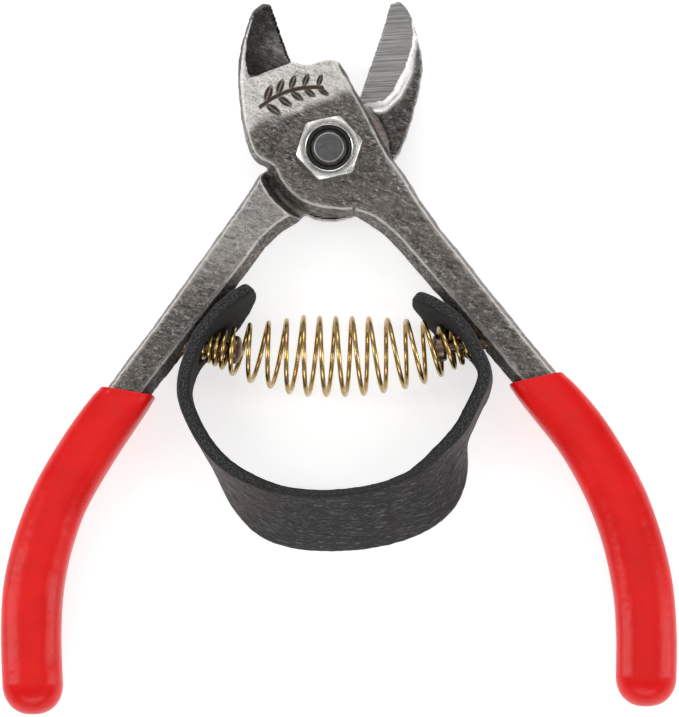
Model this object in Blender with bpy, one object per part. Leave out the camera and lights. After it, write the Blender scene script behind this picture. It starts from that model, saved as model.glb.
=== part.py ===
"""Floral snips with a coil opening spring, a leather hand strap and dipped vinyl grips.

The tool lies flat with its jaws open. The origin is on the pivot axis, at the underside of the
bolt head. +Z runs along the pivot axis towards the nut and +Y towards the jaw tips.
The front lever (left jaw, right grip) laps over the rear lever (right jaw, left grip).
All dimensions below are in millimetres; build turns the finished meshes into metres.
"""

import math

import bmesh
import bpy
from mathutils import Matrix, Vector

MM = 0.001

# Heights along the pivot axis.
HEAD_H = 5.0  # bolt head
FIT_GAP = 0.3  # air between pieces that touch on the bench
HALF_T = 4.7  # half the thickness of a lever
MID_Z = HEAD_H + FIT_GAP + HALF_T  # the plane the two jaws shear in
SHEAR_GAP = 0.15  # from that plane to either lever
TOP_Z = MID_Z + HALF_T
EDGE_ROUND = 0.5  # rounding along the rims of the forgings
CUT_SPARE = 3.0  # how far a cutter stands out of what it cuts

# Pivot.
BOLT_R = 4.0
BORE_R = 4.06
HEAD_R = 6.75
NECK = 8.0  # side of the square neck that keys the bolt to the rear lever
NECK_H = 2.2
NECK_FIT = 0.1
NUT_FLATS = 13.0
NUT_H = 6.5
NUT_TURN_DEG = 12.2
RING_R = 4.85
RING_H = 1.8
RING_FIT = 0.1
RING_SUNK = 0.15
BOLT_END_Z = TOP_Z + FIT_GAP + NUT_H + 0.5

# Lap joint.
HUB_R = 14.2  # edge of each lever's hub round the pivot
LAP_R = 15.2  # shoulder that clears the other lever's hub, at the shear plane
LAP_DRAFT = 1.2  # how far that shoulder leans back over one layer
LAP_TOP_Y = -3.6  # above this line a lever keeps only its own layer
DISC_R = 13.0  # raised bearing disc on the rear lever
RELIEF = 0.8

# Draft of the forged walls: how far the face lies inside the parting line.
OUTER_DRAFT = 1.0
INNER_DRAFT = 2.0
PLATE_DRAFT = 0.6

# Tangs: centre lines from the shoulder to the end of the grip, as (x, y).
RIGHT_LINE = [(20.8, -20.4), (34.1, -36.6), (45.6, -50.6), (55.8, -62.9), (63.4, -76.5),
              (68.0, -91.0), (69.4, -104.8), (69.2, -122.2)]
LEFT_LINE = [(-21.4, -22.1), (-33.6, -38.5), (-44.3, -52.6), (-53.0, -65.1), (-60.2, -78.0),
             (-64.6, -92.0), (-65.8, -105.4), (-65.0, -123.7)]
TANG_W = [(0.0, 10.1), (20.0, 9.2), (40.0, 8.9), (130.0, 8.6)]  # (distance along, width)
TANG_STOP = 12.0  # from the end of the tang to the end of its grip
TANG_STEPS = 15
TANG_END_ROUND = 0.6  # how far the round end stands out, as a share of half the width

# Grips.
GRIP_W = [(0.0, 10.7), (3.0, 11.2), (10.0, 11.6), (25.0, 12.0), (40.0, 12.5), (52.0, 13.0),
          (90.0, 13.0)]  # (distance from the mouth, width)
GRIP_T = [(0.0, 11.2), (3.0, 11.6), (25.0, 12.0), (90.0, 12.4)]  # the same for thickness
GRIP_MOUTH_AT = 38.3  # distance along the tang's centre line
GRIP_SLANT = 0.5  # slope of the mouth across the tang
GRIP_SLANT_FADE = 14.0  # distance over which the sections turn square again
GRIP_NOSE = 6.5
GRIP_NOSE_POWER = 0.8  # below 1 the nose is blunter than a ball
GRIP_STEPS = 13
GRIP_CROWDING = 1.2  # above 1 the sections crowd towards the mouth
GRIP_SIDES = 20
GRIP_FIT = 0.45
GRIP_POWER = 4.0  # squareness of the grip's section
CAVITY_POWER = 6.0
CAVITY_SPARE = 4.2  # from the tang's straight end to the bottom of the cavity, past its round
LINE_STEPS = 90  # of a centre line, when a place on it is looked up

# Spring.
WIRE_R = 0.52
SPRING_ARC = [(-29.6, -42.3), (1.5, -44.8), (31.9, -42.0)]  # its axis is the arc through these
SPRING_X = [(-0.4, -28.8), (0.0, -28.2), (4.0, -22.2), (5.0, -18.9), (7.0, -10.7), (12.0, 8.5),
            (14.0, 16.9), (16.0, 24.1), (17.0, 26.7), (19.4, 30.5)]  # (turn, x); tops at whole turns
SPRING_R = [(0.0, 2.15), (1.0, 3.1), (2.0, 3.5), (3.0, 4.0), (4.0, 4.6), (5.0, 5.8), (7.0, 7.4),
            (8.0, 8.3), (11.0, 8.2), (12.0, 8.0), (14.0, 6.9), (15.0, 6.1), (16.0, 4.8),
            (17.0, 4.1), (18.0, 3.4), (19.0, 2.3)]  # (turn, radius)
SPRING_LIFT = 0.5  # of the spring and its studs above the shear plane
STEPS_PER_TURN = 11
WIRE_SIDES = 6

# Studs that carry the spring's ends.
STUD_HEAD = [(-20.9, -43.35), (23.8, -43.1)]  # centre of each domed head
STUD_TILT_DEG = 7.0
STUD_HEAD_R = 3.1
STUD_HEAD_H = 3.0
STUD_POST_R = 1.5
STUD_SIDES = 24
STUD_POST_LEN = [12.6, 12.0]
STUD_HOLE_R = 1.6
STUD_HOLE_SPARE = 0.4
STRAP_HOLE_R = 5.5

# Hand strap: middle line (x, y), then the tilt about it against the share of its length.
STRAP_LINE = [(-16.4, -31.8), (-19.4, -34.0), (-24.4, -38.1), (-28.2, -42.7), (-31.2, -48.0),
              (-31.9, -53.2), (-30.2, -58.3), (-27.3, -63.2), (-23.7, -68.4), (-19.6, -73.0),
              (-15.4, -76.7), (-10.9, -79.3), (-4.0, -80.9), (4.0, -81.0), (11.0, -80.1),
              (16.6, -78.3), (20.8, -75.7), (23.9, -72.5), (26.5, -68.3), (28.5, -63.6),
              (30.3, -59.4), (32.2, -55.6), (33.7, -52.0), (33.9, -48.6), (32.0, -44.4),
              (28.1, -40.0), (24.1, -36.7), (20.9, -34.6), (18.2, -33.9)]
STRAP_T = 3.2
STRAP_W = 15.0
STRAP_TILT = [(0.0, 18.0), (0.13, 19.0), (0.22, 5.0), (0.295, 0.0), (0.365, -14.0), (0.42, -36.0),
              (0.50, -49.0), (0.60, -51.0), (0.66, -33.0), (0.72, -3.0), (0.78, 5.0), (0.87, 21.0),
              (1.0, 20.0)]
STRAP_STEPS = 50
STRAP_HOLE_SPAN = (12.0, 5.0)  # behind and in front of the stud's head, along its axis

CURVE_STEPS = 12  # between two points of a smooth line
ROUND_SIDES = 48  # of the bolt, the nut and what is turned round them
SHARP_DEG = 32.0  # edges that bend more than this are drawn sharp


def curve_value(table, at):
    """Value at a place in a table of (place, value), on a smooth curve through its rows."""
    if at <= table[0][0]:
        return table[0][1]
    for k, ((a, low), (b, high)) in enumerate(zip(table, table[1:])):
        if at <= b:
            t = (at - a) / (b - a)
            rise = [row_slope(table, k) * (b - a), row_slope(table, k + 1) * (b - a)]
            bend = t * (1 - t) * ((1 - t) * rise[0] - t * rise[1])
            return low + (high - low) * t * t * (3 - 2 * t) + bend
    return table[-1][1]


def row_slope(table, k):
    """Slope of the curve at a row: the mean slope to its neighbours, or flat at a peak."""
    before, after = table[max(k - 1, 0)], table[min(k + 1, len(table) - 1)]
    middle = table[k][1]
    if (middle - before[1]) * (after[1] - middle) <= 0:
        return 0.0
    return (after[1] - before[1]) / (after[0] - before[0])


def smooth_line(points, steps):
    """Evenly spaced points on a Catmull-Rom curve through the given ones."""
    ends = [2 * Vector(points[0]) - Vector(points[1]), 2 * Vector(points[-1]) - Vector(points[-2])]
    line = [ends[0]] + [Vector(p) for p in points] + [ends[1]]
    fine = []
    for a, b, c, d in zip(line, line[1:], line[2:], line[3:]):
        for k in range(CURVE_STEPS):
            t = k / CURVE_STEPS
            square = (2 * a - 5 * b + 4 * c - d) * t**2
            cube = (3 * b - a - 3 * c + d) * t**3
            fine.append(0.5 * (2 * b + (c - a) * t + square + cube))
    fine.append(line[-2])
    return spaced(fine, steps)


def spaced(points, steps):
    """The same line with steps + 1 points at equal distances along it."""
    lengths = [0.0]
    for a, b in zip(points, points[1:]):
        lengths.append(lengths[-1] + (b - a).length)
    result, k = [], 0
    for step in range(steps + 1):
        want = lengths[-1] * step / steps
        while k < len(points) - 2 and lengths[k + 1] < want:
            k += 1
        share = (want - lengths[k]) / (lengths[k + 1] - lengths[k])
        result.append(points[k].lerp(points[k + 1], share))
    return result


def line_length(points):
    return sum((b - a).length for a, b in zip(points, points[1:]))


def tangent(points, k):
    return (points[min(k + 1, len(points) - 1)] - points[max(k - 1, 0)]).normalized()


def place_on(points, at):
    """Point and direction at a distance along an evenly spaced line."""
    step = line_length(points) / (len(points) - 1)
    k = min(int(at / step), len(points) - 2)
    return points[k].lerp(points[k + 1], at / step - k), tangent(points, k)


def left_of(direction):
    return Vector((-direction.y, direction.x))


def arc(radius, start_deg, end_deg, steps):
    angles = [math.radians(start_deg + (end_deg - start_deg) * k / steps) for k in range(steps + 1)]
    return [(radius * math.cos(a), radius * math.sin(a)) for a in angles]


def material(name, color, roughness, metallic):
    made = bpy.data.materials.new(name)
    made.use_nodes = True
    shader = made.node_tree.nodes["Principled BSDF"]
    shader.inputs["Base Color"].default_value = (*color, 1.0)
    shader.inputs["Roughness"].default_value = roughness
    shader.inputs["Metallic"].default_value = metallic
    return made


def mesh_object(name, bm, finish=None, hidden=False):
    """Turn a bmesh into a named object of triangles that point out, which Booleans cut cleanly."""
    bmesh.ops.recalc_face_normals(bm, faces=bm.faces)
    bmesh.ops.triangulate(bm, faces=bm.faces)
    mesh = bpy.data.meshes.new(name)
    bm.to_mesh(mesh)
    bm.free()
    made = bpy.data.objects.new(name, mesh)
    bpy.context.scene.collection.objects.link(made)
    made.hide_render = hidden
    if hidden:
        made.display_type = "WIRE"
    if finish:
        mesh.materials.append(finish)
    return made


def rings_bmesh(rings):
    """A closed body from rings of points, each ring joined to the next and both ends capped."""
    bm = bmesh.new()
    made = [[bm.verts.new(p) for p in ring] for ring in rings]
    for low, high in zip(made, made[1:]):
        for k in range(len(low)):
            n = (k + 1) % len(low)
            bm.faces.new((low[k], low[n], high[n], high[k]))
    bm.faces.new(made[0][::-1])
    bm.faces.new(made[-1])
    return bm


def prism_bmesh(outline, low_z, high_z):
    return rings_bmesh([[(x, y, z) for x, y in outline] for z in (low_z, high_z)])


def turned_bmesh(profile, sides, turn_deg=0.0):
    """A solid of revolution about Z from (radius, z) pairs that run from the bottom to the top."""
    turn = math.radians(turn_deg)
    rings = []
    for radius, z in profile:
        angles = [turn + math.tau * k / sides for k in range(sides)]
        rings.append([(radius * math.cos(a), radius * math.sin(a), z) for a in angles])
    return rings_bmesh(rings)


def apply_boolean(target, other, operation):
    """Cut target by other, or join the two, and remove other."""
    modifier = target.modifiers.new(other.name, "BOOLEAN")
    modifier.operation = operation
    modifier.solver = "EXACT"
    modifier.object = other
    bpy.context.view_layer.update()
    evaluated = target.evaluated_get(bpy.context.evaluated_depsgraph_get())
    result = bpy.data.meshes.new_from_object(evaluated)
    target.modifiers.clear()
    old, target.data = target.data, result
    bpy.data.meshes.remove(old)
    bpy.data.objects.remove(other)


def cut(target, bm):
    apply_boolean(target, mesh_object("cutter", bm, hidden=True), "DIFFERENCE")


def tang_sides(line):
    """Left and right edges of a tang, walking away from the pivot, and its end from right to left."""
    points = smooth_line(line, LINE_STEPS)
    reach = line_length(points) - TANG_STOP
    left, right = [], []
    for k in range(TANG_STEPS + 1):
        at = reach * k / TANG_STEPS
        centre, way = place_on(points, at)
        side = left_of(way) * curve_value(TANG_W, at) / 2
        left.append(centre + side)
        right.append(centre - side)
    half = curve_value(TANG_W, reach) / 2
    end = []
    for degrees in (-40, 0, 40):
        angle = math.radians(degrees)
        beyond = way * half * TANG_END_ROUND * math.cos(angle)
        end.append(centre + left_of(way) * half * math.sin(angle) + beyond)
    return left, right, end


def inset_point(before, here, after, amount):
    """The point at a distance inside a corner of a counterclockwise outline."""
    first = left_of((here - before).normalized())
    second = left_of((after - here).normalized())
    return here + (first + second) * amount / (1 + first.dot(second))


def drafted_body(outline):
    """A forging from (x, y, draft) points: widest at the shear plane, its faces inside its rims."""
    flat = [Vector(p[:2]) for p in outline]
    drafts = [p[2] for p in outline]
    count = len(flat)
    rings = []
    wall_z = HALF_T - EDGE_ROUND
    for z, extra in ((-HALF_T, EDGE_ROUND), (-wall_z, 0), (0, 0), (wall_z, 0), (HALF_T, EDGE_ROUND)):
        ring = []
        for k in range(count):
            amount = drafts[k] * abs(z) / HALF_T + extra * (drafts[k] > 0)
            point = inset_point(flat[k - 1], flat[k], flat[(k + 1) % count], amount)
            ring.append((point.x, point.y, MID_Z + z))
        rings.append(ring)
    return rings_bmesh(rings)


def with_draft(points, draft):
    return [(p[0], p[1], draft) for p in points]


def front_outline():
    outer, inner, end = tang_sides(RIGHT_LINE)
    hub = arc(HUB_R, 197, 291, 12)
    flare = [(7.9, -15.3), (11.2, -17.7), (14.4, -20.8)]
    outer_head = [(21.6, -12.9), (19.1, -9.2), (17.2, -5.9), (13.4, -0.5)]
    plate_right = [(6.5, 12.6), (2.7, 19.2)]
    plate_top = [(2.0, 20.4), (0.9, 20.9), (-0.6, 20.9), (-2.4, 20.4), (-4.1, 19.9), (-5.8, 19.8),
                 (-7.1, 20.1)]
    jaw_edge = [(-8.5, 20.2), (-13.3, 32.5)]
    jaw_back = [(-15.0, 32.8), (-17.2, 31.0), (-18.4, 28.1), (-19.6, 24.1), (-20.1, 20.9),
                (-20.4, 16.8), (-20.3, 12.6), (-19.8, 8.4), (-18.7, 2.9), (-18.0, 0.6)]
    bump = [(-17.1, -1.1), (-15.7, -2.4), (-14.2, -3.1)]
    return (
        with_draft(hub, INNER_DRAFT)
        + with_draft(flare + inner, INNER_DRAFT)
        + with_draft(end, OUTER_DRAFT)
        + with_draft(outer[::-1] + outer_head, OUTER_DRAFT)
        + with_draft(plate_right, OUTER_DRAFT)
        + with_draft(plate_top, PLATE_DRAFT)
        + with_draft(jaw_edge, 0.0)
        + with_draft(jaw_back + bump, OUTER_DRAFT)
    )


def rear_outline():
    inner, outer, end = tang_sides(LEFT_LINE)
    hub = arc(HUB_R, 247, 352, 13)
    flare = [(-14.2, -20.6), (-10.9, -17.6), (-7.7, -15.3)]
    back_root = [(15.7, 0.6), (17.1, 4.0)]
    jaw_back = [(18.6, 8.7), (19.7, 14.0), (20.2, 18.6), (19.9, 22.6), (19.0, 26.2), (17.8, 29.5),
                (16.7, 32.0), (15.3, 33.4)]
    jaw_edge = [(13.3, 32.7), (6.5, 12.7)]
    disc = arc(DISC_R, 68, 188, 14)
    outer_head = [(-14.5, -3.8), (-15.7, -4.7), (-18.0, -8.3), (-20.9, -12.8)]
    return (
        with_draft(inner[::-1] + flare, INNER_DRAFT)
        + with_draft(hub, INNER_DRAFT)
        + with_draft(back_root + jaw_back, OUTER_DRAFT)
        + with_draft(jaw_edge, 0.0)
        + with_draft(disc, PLATE_DRAFT)
        + with_draft(outer_head + outer + end, OUTER_DRAFT)
    )


def lap_cutters(side):
    """What each lever leaves free for the other: side is +1 above the shear plane, -1 below it."""
    near = MID_Z - side * SHEAR_GAP
    far = MID_Z + side * (HALF_T + CUT_SPARE)
    lean = LAP_DRAFT * abs(far - near) / HALF_T
    profile = sorted([(LAP_R, near), (LAP_R + lean, far)], key=lambda pair: pair[1])
    jaw_box = [(-40, LAP_TOP_Y), (40, LAP_TOP_Y), (40, 50), (-40, 50)]
    return [turned_bmesh(profile, ROUND_SIDES), prism_bmesh(jaw_box, *sorted((near, far)))]


def hollow_cutter(side):
    """Hollow bevel of a jaw: a channel whose floor sags between the cutting edge and the spine.

    side is -1 for the left jaw, ground on top, and +1 for the right jaw, ground underneath.
    """
    past_edge = 0.4  # how far the cutter runs past the cutting edge, as a share of its width
    land_z, sag_power = 0.45, 2.1
    edge_line = [(-8.2, 19.95), (-9.9, 23.7), (-11.4, 27.5), (-12.7, 30.8), (-14.2, 34.6)]
    spine_line = [(-18.5, 15.95), (-18.95, 20.6), (-18.4, 24.3), (-17.0, 28.6), (-15.4, 33.9)]
    spine_fall = [0.15, 0.25, 0.5, 0.9, 1.6]
    rings = []
    for edge, spine, fall in zip(edge_line, spine_line, spine_fall):
        edge, spine = Vector(edge), Vector(spine)
        beyond = edge + (edge - spine) * past_edge
        ring, heights = [beyond, edge], [land_z, land_z]
        for share in (0.2, 0.4, 0.6, 0.8, 0.94, 1.0):
            ring.append(edge.lerp(spine, share))
            heights.append(land_z + (HALF_T - fall - land_z) * share**sag_power)
        ring += [spine, beyond]
        heights += [HALF_T + CUT_SPARE, HALF_T + CUT_SPARE]
        rings.append([(-side * p.x, p.y, MID_Z - side * z) for p, z in zip(ring, heights)])
    return rings_bmesh(rings)


def relief_cutter():
    """Shallow recess beside the right jaw's shear face, with a sloped shore."""
    shore = [(17.5, 29.2), (17.6, 26.7), (17.1, 24.2), (15.6, 19.4), (13.2, 14.2), (10.9, 12.1),
             (5.0, 11.6)]
    floor = [(18.4, 28.0), (19.0, 25.5), (18.9, 23.2), (17.7, 18.6), (15.2, 13.9), (12.2, 10.9),
             (5.0, 10.0)]
    outside = [(5.0, -10.6), (26.0, -10.6), (26.0, 29.2)]
    face = MID_Z - SHEAR_GAP
    rings = []
    for z, line in ((face - RELIEF, floor), (face, shore), (face + CUT_SPARE, shore)):
        rings.append([(x, y, z) for x, y in line + outside])
    return rings_bmesh(rings)


def bore_cutter():
    return turned_bmesh([(BORE_R, -CUT_SPARE), (BORE_R, BOLT_END_Z + CUT_SPARE)], ROUND_SIDES)


def stud_axis(side):
    """Unit vector along a stud, from the tang to the domed head."""
    tilt = math.radians(STUD_TILT_DEG)
    return Vector((-side * math.cos(tilt), -math.sin(tilt), 0))


def along_axis(bm, origin, axis):
    """Stand a body of revolution about Z on a point, with its +Z along an axis."""
    turn = Vector((0, 0, 1)).rotation_difference(axis).to_matrix().to_4x4()
    bmesh.ops.transform(bm, matrix=Matrix.Translation(origin) @ turn, verts=bm.verts)
    return bm


def stud_centre(side):
    return Vector((*STUD_HEAD[side > 0], MID_Z + SPRING_LIFT))


def stud_hole(side, radius, before, after):
    """Cylinder on a stud's axis, from a distance before the head's centre to one after it."""
    cylinder = turned_bmesh([(radius, -before), (radius, after)], STUD_SIDES)
    return along_axis(cylinder, stud_centre(side), stud_axis(side))


def front_lever(finish):
    lever = mesh_object("front_lever", drafted_body(front_outline()), finish)
    for cutter in lap_cutters(-1):
        cut(lever, cutter)
    cut(lever, hollow_cutter(-1))
    cut(lever, bore_cutter())
    cut(lever, stud_hole(1, STUD_HOLE_R, STUD_POST_LEN[1] + STUD_HOLE_SPARE, 0))
    return lever


def rear_lever(finish):
    lever = mesh_object("rear_lever", drafted_body(rear_outline()), finish)
    for cutter in lap_cutters(1):
        cut(lever, cutter)
    cut(lever, hollow_cutter(1))
    cut(lever, relief_cutter())
    disc = turned_bmesh([(DISC_R, MID_Z - 2), (DISC_R, MID_Z - SHEAR_GAP)], ROUND_SIDES)
    apply_boolean(lever, mesh_object("disc", disc, hidden=True), "UNION")
    cut(lever, bore_cutter())
    cut(lever, prism_bmesh(square(NECK + 2 * NECK_FIT), 0, HEAD_H + NECK_H + FIT_GAP))
    cut(lever, stud_hole(-1, STUD_HOLE_R, STUD_POST_LEN[0] + STUD_HOLE_SPARE, 0))
    return lever


def square(side):
    half = side / 2
    return [(-half, -half), (half, -half), (half, half), (-half, half)]


def pivot_bolt(finish):
    """Bolt with a low round head, a square neck and a chamfered end."""
    head = [(HEAD_R - 0.8, 0), (HEAD_R, 0.8), (HEAD_R, 3.2), (HEAD_R - 1.2, 4.6),
            (HEAD_R - 1.6, HEAD_H)]
    root = HEAD_H - 0.5  # the shank and the neck start inside the head
    shank = [(BOLT_R, root), (BOLT_R, BOLT_END_Z - 0.8), (BOLT_R - 0.9, BOLT_END_Z)]
    bolt = mesh_object("pivot_bolt", turned_bmesh(head, ROUND_SIDES), finish)
    neck = prism_bmesh(square(NECK), root, HEAD_H + NECK_H)
    for bm in (turned_bmesh(shank, ROUND_SIDES), neck):
        apply_boolean(bolt, mesh_object("joined", bm, hidden=True), "UNION")
    return bolt


def pivot_nut(finish):
    """Hex nut with both ends chamfered and a recess for its lock ring."""
    low, high = TOP_Z + FIT_GAP, TOP_Z + FIT_GAP + NUT_H
    corner = NUT_FLATS / math.sqrt(3)
    hexagon = turned_bmesh([(corner, low), (corner, high)], 6, NUT_TURN_DEG)
    nut = mesh_object("pivot_nut", hexagon, finish)
    flat, wide = NUT_FLATS / 2 - 0.05, corner + 0.3
    fall = (wide - flat) * math.tan(math.radians(30))
    chamfer = [(flat, low), (wide, low + fall), (wide, high - fall), (flat, high)]
    barrel = mesh_object("chamfer", turned_bmesh(chamfer, ROUND_SIDES), hidden=True)
    apply_boolean(nut, barrel, "INTERSECT")
    cut(nut, bore_cutter())
    recess = RING_R + RING_FIT
    profile = [(recess, high - RING_H - RING_FIT), (recess, high + CUT_SPARE)]
    cut(nut, turned_bmesh(profile, ROUND_SIDES))
    return nut


def nut_lock_ring(finish):
    high = TOP_Z + FIT_GAP + NUT_H - RING_SUNK
    profile = [(RING_R, high - RING_H + 2 * RING_FIT), (RING_R, high)]
    ring = mesh_object("nut_lock_ring", turned_bmesh(profile, ROUND_SIDES), finish)
    cut(ring, bore_cutter())
    return ring


def stud(name, side, finish):
    """Domed stud whose post runs through the strap and into the tang."""
    reach = STUD_POST_LEN[side > 0]
    half = STUD_HEAD_H / 2
    dome = [(STUD_HEAD_R * math.cos(a), half * 0.2 + half * 0.8 * math.sin(a))
            for a in (0, math.radians(25), math.radians(50), math.radians(72))]
    profile = [(STUD_POST_R - 0.3, -reach), (STUD_POST_R, 0.3 - reach), (STUD_POST_R, -half),
               (STUD_HEAD_R - 0.5, -half), (STUD_HEAD_R, -half + 0.6)] + dome
    body = along_axis(turned_bmesh(profile, STUD_SIDES), stud_centre(side), stud_axis(side))
    return mesh_object(name, body, finish)


def spring_axis(x):
    """Point and direction on the spring's sagging axis at a given x."""
    (x0, y0), (x1, y1), (x2, y2) = SPRING_ARC
    sag = ((y0 - y1) / (x0 - x1) ** 2 + (y2 - y1) / (x2 - x1) ** 2) / 2
    point = Vector((x, y1 + sag * (x - x1) ** 2, MID_Z + SPRING_LIFT))
    return point, Vector((1, 2 * sag * (x - x1), 0)).normalized()


def return_spring(finish):
    """Barrel spring: one helix whose pitch and radius follow the two tables."""
    first, last = SPRING_X[0][0], SPRING_X[-1][0]
    steps = round((last - first) * STEPS_PER_TURN)
    path = []
    for k in range(steps + 1):
        turn = first + (last - first) * k / steps
        centre, along = spring_axis(curve_value(SPRING_X, turn))
        up = Vector((-along.y, along.x, 0))
        angle = math.tau * turn
        spoke = up * math.cos(angle) + Vector((0, 0, 1)) * math.sin(angle)
        path.append(centre + spoke * curve_value(SPRING_R, turn))
    rings = []
    for k, point in enumerate(path):
        way = tangent(path, k)
        side = way.cross(spring_axis(point.x)[1]).normalized()
        over = way.cross(side)
        angles = [math.tau * n / WIRE_SIDES for n in range(WIRE_SIDES)]
        rings.append([point + (side * math.cos(a) + over * math.sin(a)) * WIRE_R for a in angles])
    return mesh_object("return_spring", rings_bmesh(rings), finish)


def hand_strap(finish):
    """Leather strap that runs from stud to stud round the back of the hand."""
    points = smooth_line(STRAP_LINE, STRAP_STEPS)
    up = Vector((0, 0, 1))
    rings = []
    for k, point in enumerate(points):
        outward = -left_of(tangent(points, k)).to_3d()
        tilt = math.radians(curve_value(STRAP_TILT, k / STRAP_STEPS))
        middle = Vector((point.x, point.y, MID_Z))
        wide = (outward * math.sin(tilt) + up * math.cos(tilt)) * STRAP_W / 2
        thick = (outward * math.cos(tilt) - up * math.sin(tilt)) * STRAP_T / 2
        rings.append([middle + wide + thick, middle + wide - thick,
                      middle - wide - thick, middle - wide + thick])
    strap = mesh_object("hand_strap", rings_bmesh(rings), finish)
    for side in (-1, 1):
        cut(strap, stud_hole(side, STRAP_HOLE_R, *STRAP_HOLE_SPAN))
    return strap


def grip_ring(centre, way, width, thick, power, slant):
    """One section of a grip: a rounded rectangle across the tang."""
    across = left_of(way)
    ring = []
    for k in range(GRIP_SIDES):
        angle = math.tau * k / GRIP_SIDES
        c, s = math.cos(angle), math.sin(angle)
        reach = (abs(c) ** power + abs(s) ** power) ** (-1 / power)
        side, up = c * reach * width / 2, s * reach * thick / 2
        flat = centre + across * side + way * side * slant
        ring.append((flat.x, flat.y, MID_Z + up))
    return ring


def grip(name, line, side, finish):
    """Dipped sleeve: from the bottom of its cavity out over the mouth and down to its round nose."""
    points = smooth_line(line, LINE_STEPS)
    total = line_length(points)
    shares = [(k / (GRIP_STEPS - 1)) ** GRIP_CROWDING for k in range(GRIP_STEPS)]

    def slant_at(at):
        return side * GRIP_SLANT * max(0.0, 1 - (at - GRIP_MOUTH_AT) / GRIP_SLANT_FADE)

    rings = []
    bottom = total - TANG_STOP + CAVITY_SPARE
    for share in reversed(shares):
        at = GRIP_MOUTH_AT + (bottom - GRIP_MOUTH_AT) * share
        width = curve_value(TANG_W, at) + 2 * GRIP_FIT
        thick = 2 * (HALF_T + GRIP_FIT)
        rings.append(grip_ring(*place_on(points, at), width, thick, CAVITY_POWER, slant_at(at)))
    for share in shares:
        at = GRIP_MOUTH_AT + (total - GRIP_NOSE - GRIP_MOUTH_AT) * share
        width = curve_value(GRIP_W, at - GRIP_MOUTH_AT)
        thick = curve_value(GRIP_T, at - GRIP_MOUTH_AT)
        rings.append(grip_ring(*place_on(points, at), width, thick, GRIP_POWER, slant_at(at)))
    for degrees in (25, 45, 62, 76, 86):
        angle = math.radians(degrees)
        at = total - GRIP_NOSE + GRIP_NOSE * math.sin(angle)
        shrink = math.cos(angle) ** GRIP_NOSE_POWER
        size = (width * shrink, thick * shrink)
        rings.append(grip_ring(*place_on(points, at), *size, GRIP_POWER, 0.0))
    return mesh_object(name, rings_bmesh(rings), finish)


def build():
    for old in list(bpy.data.objects):
        bpy.data.objects.remove(old)
    steel = material("forged_steel", (0.20, 0.19, 0.18), 0.45, 1.0)
    zinc = material("zinc_plate", (0.62, 0.62, 0.63), 0.3, 1.0)
    dark_steel = material("black_steel", (0.08, 0.075, 0.07), 0.5, 1.0)
    gold = material("yellow_zinc", (0.62, 0.44, 0.18), 0.3, 1.0)
    nylon = material("nylon", (0.10, 0.11, 0.13), 0.5, 0.0)
    leather = material("leather", (0.02, 0.02, 0.02), 0.6, 0.0)
    vinyl = material("red_vinyl", (0.70, 0.01, 0.01), 0.25, 0.0)
    front_lever(steel)
    rear_lever(steel)
    pivot_bolt(dark_steel)
    pivot_nut(zinc)
    nut_lock_ring(nylon)
    return_spring(gold)
    stud("left_stud", -1, dark_steel)
    stud("right_stud", 1, dark_steel)
    hand_strap(leather)
    grip("left_grip", LEFT_LINE, -1, vinyl)
    grip("right_grip", RIGHT_LINE, 1, vinyl)
    for made in bpy.context.scene.collection.objects:
        made.data.transform(Matrix.Scale(MM, 4))
        made.data.shade_smooth()
        made.data.set_sharp_from_angle(angle=math.radians(SHARP_DEG))


build()
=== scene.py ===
"""Looks of the floral snips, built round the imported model. Shapes are made in millimetres."""

import math

import bmesh
import bpy
import numpy as np
from mathutils import Matrix, Vector, kdtree


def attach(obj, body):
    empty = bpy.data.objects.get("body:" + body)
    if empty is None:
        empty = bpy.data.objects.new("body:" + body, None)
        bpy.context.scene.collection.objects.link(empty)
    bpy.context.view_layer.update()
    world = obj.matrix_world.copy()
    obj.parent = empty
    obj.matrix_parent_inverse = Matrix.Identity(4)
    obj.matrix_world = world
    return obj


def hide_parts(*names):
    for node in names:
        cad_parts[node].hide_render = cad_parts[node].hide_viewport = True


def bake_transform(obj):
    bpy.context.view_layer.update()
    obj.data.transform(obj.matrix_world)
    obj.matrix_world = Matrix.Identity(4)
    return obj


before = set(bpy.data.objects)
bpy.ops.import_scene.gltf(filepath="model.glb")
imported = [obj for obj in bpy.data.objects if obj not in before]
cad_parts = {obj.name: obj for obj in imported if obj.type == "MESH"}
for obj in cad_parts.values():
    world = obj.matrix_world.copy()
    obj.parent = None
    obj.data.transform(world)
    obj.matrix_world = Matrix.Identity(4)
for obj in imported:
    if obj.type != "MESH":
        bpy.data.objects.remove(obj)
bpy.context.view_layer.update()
MM = 0.001

# Heights along the pivot axis, as in the model.
MID_Z = 10.0
HALF_T = 4.7
TOP_Z = MID_Z + HALF_T
SHEAR_GAP = 0.15
NUT_LOW = TOP_Z + 0.3
NUT_HIGH = NUT_LOW + 6.5
BOLT_END = NUT_HIGH + 0.5

RIGHT_LINE = [(20.8, -20.4), (34.1, -36.6), (45.6, -50.6), (55.6, -63.0), (63.0, -76.6),
              (67.5, -91.0), (69.1, -104.8), (68.9, -121.9)]
LEFT_LINE = [(-21.4, -22.1), (-33.6, -38.5), (-44.4, -52.6), (-53.1, -65.1), (-60.2, -78.0),
             (-64.5, -92.0), (-65.6, -105.4), (-64.9, -123.4)]
TANG_W = [(0.0, 10.1), (20.0, 9.2), (40.0, 8.9), (130.0, 8.6)]
TANG_STOP = 12.0
GRIP_W = [(0.0, 10.8), (3.0, 11.4), (10.0, 12.0), (25.0, 12.5), (40.0, 13.0), (52.0, 13.3),
          (90.0, 13.2)]
GRIP_T = [(0.0, 11.2), (3.0, 11.6), (25.0, 12.0), (90.0, 12.4)]
GRIP_MOUTH_AT = 38.3
GRIP_SLANT = 0.5
GRIP_NOSE = 6.5

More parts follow.
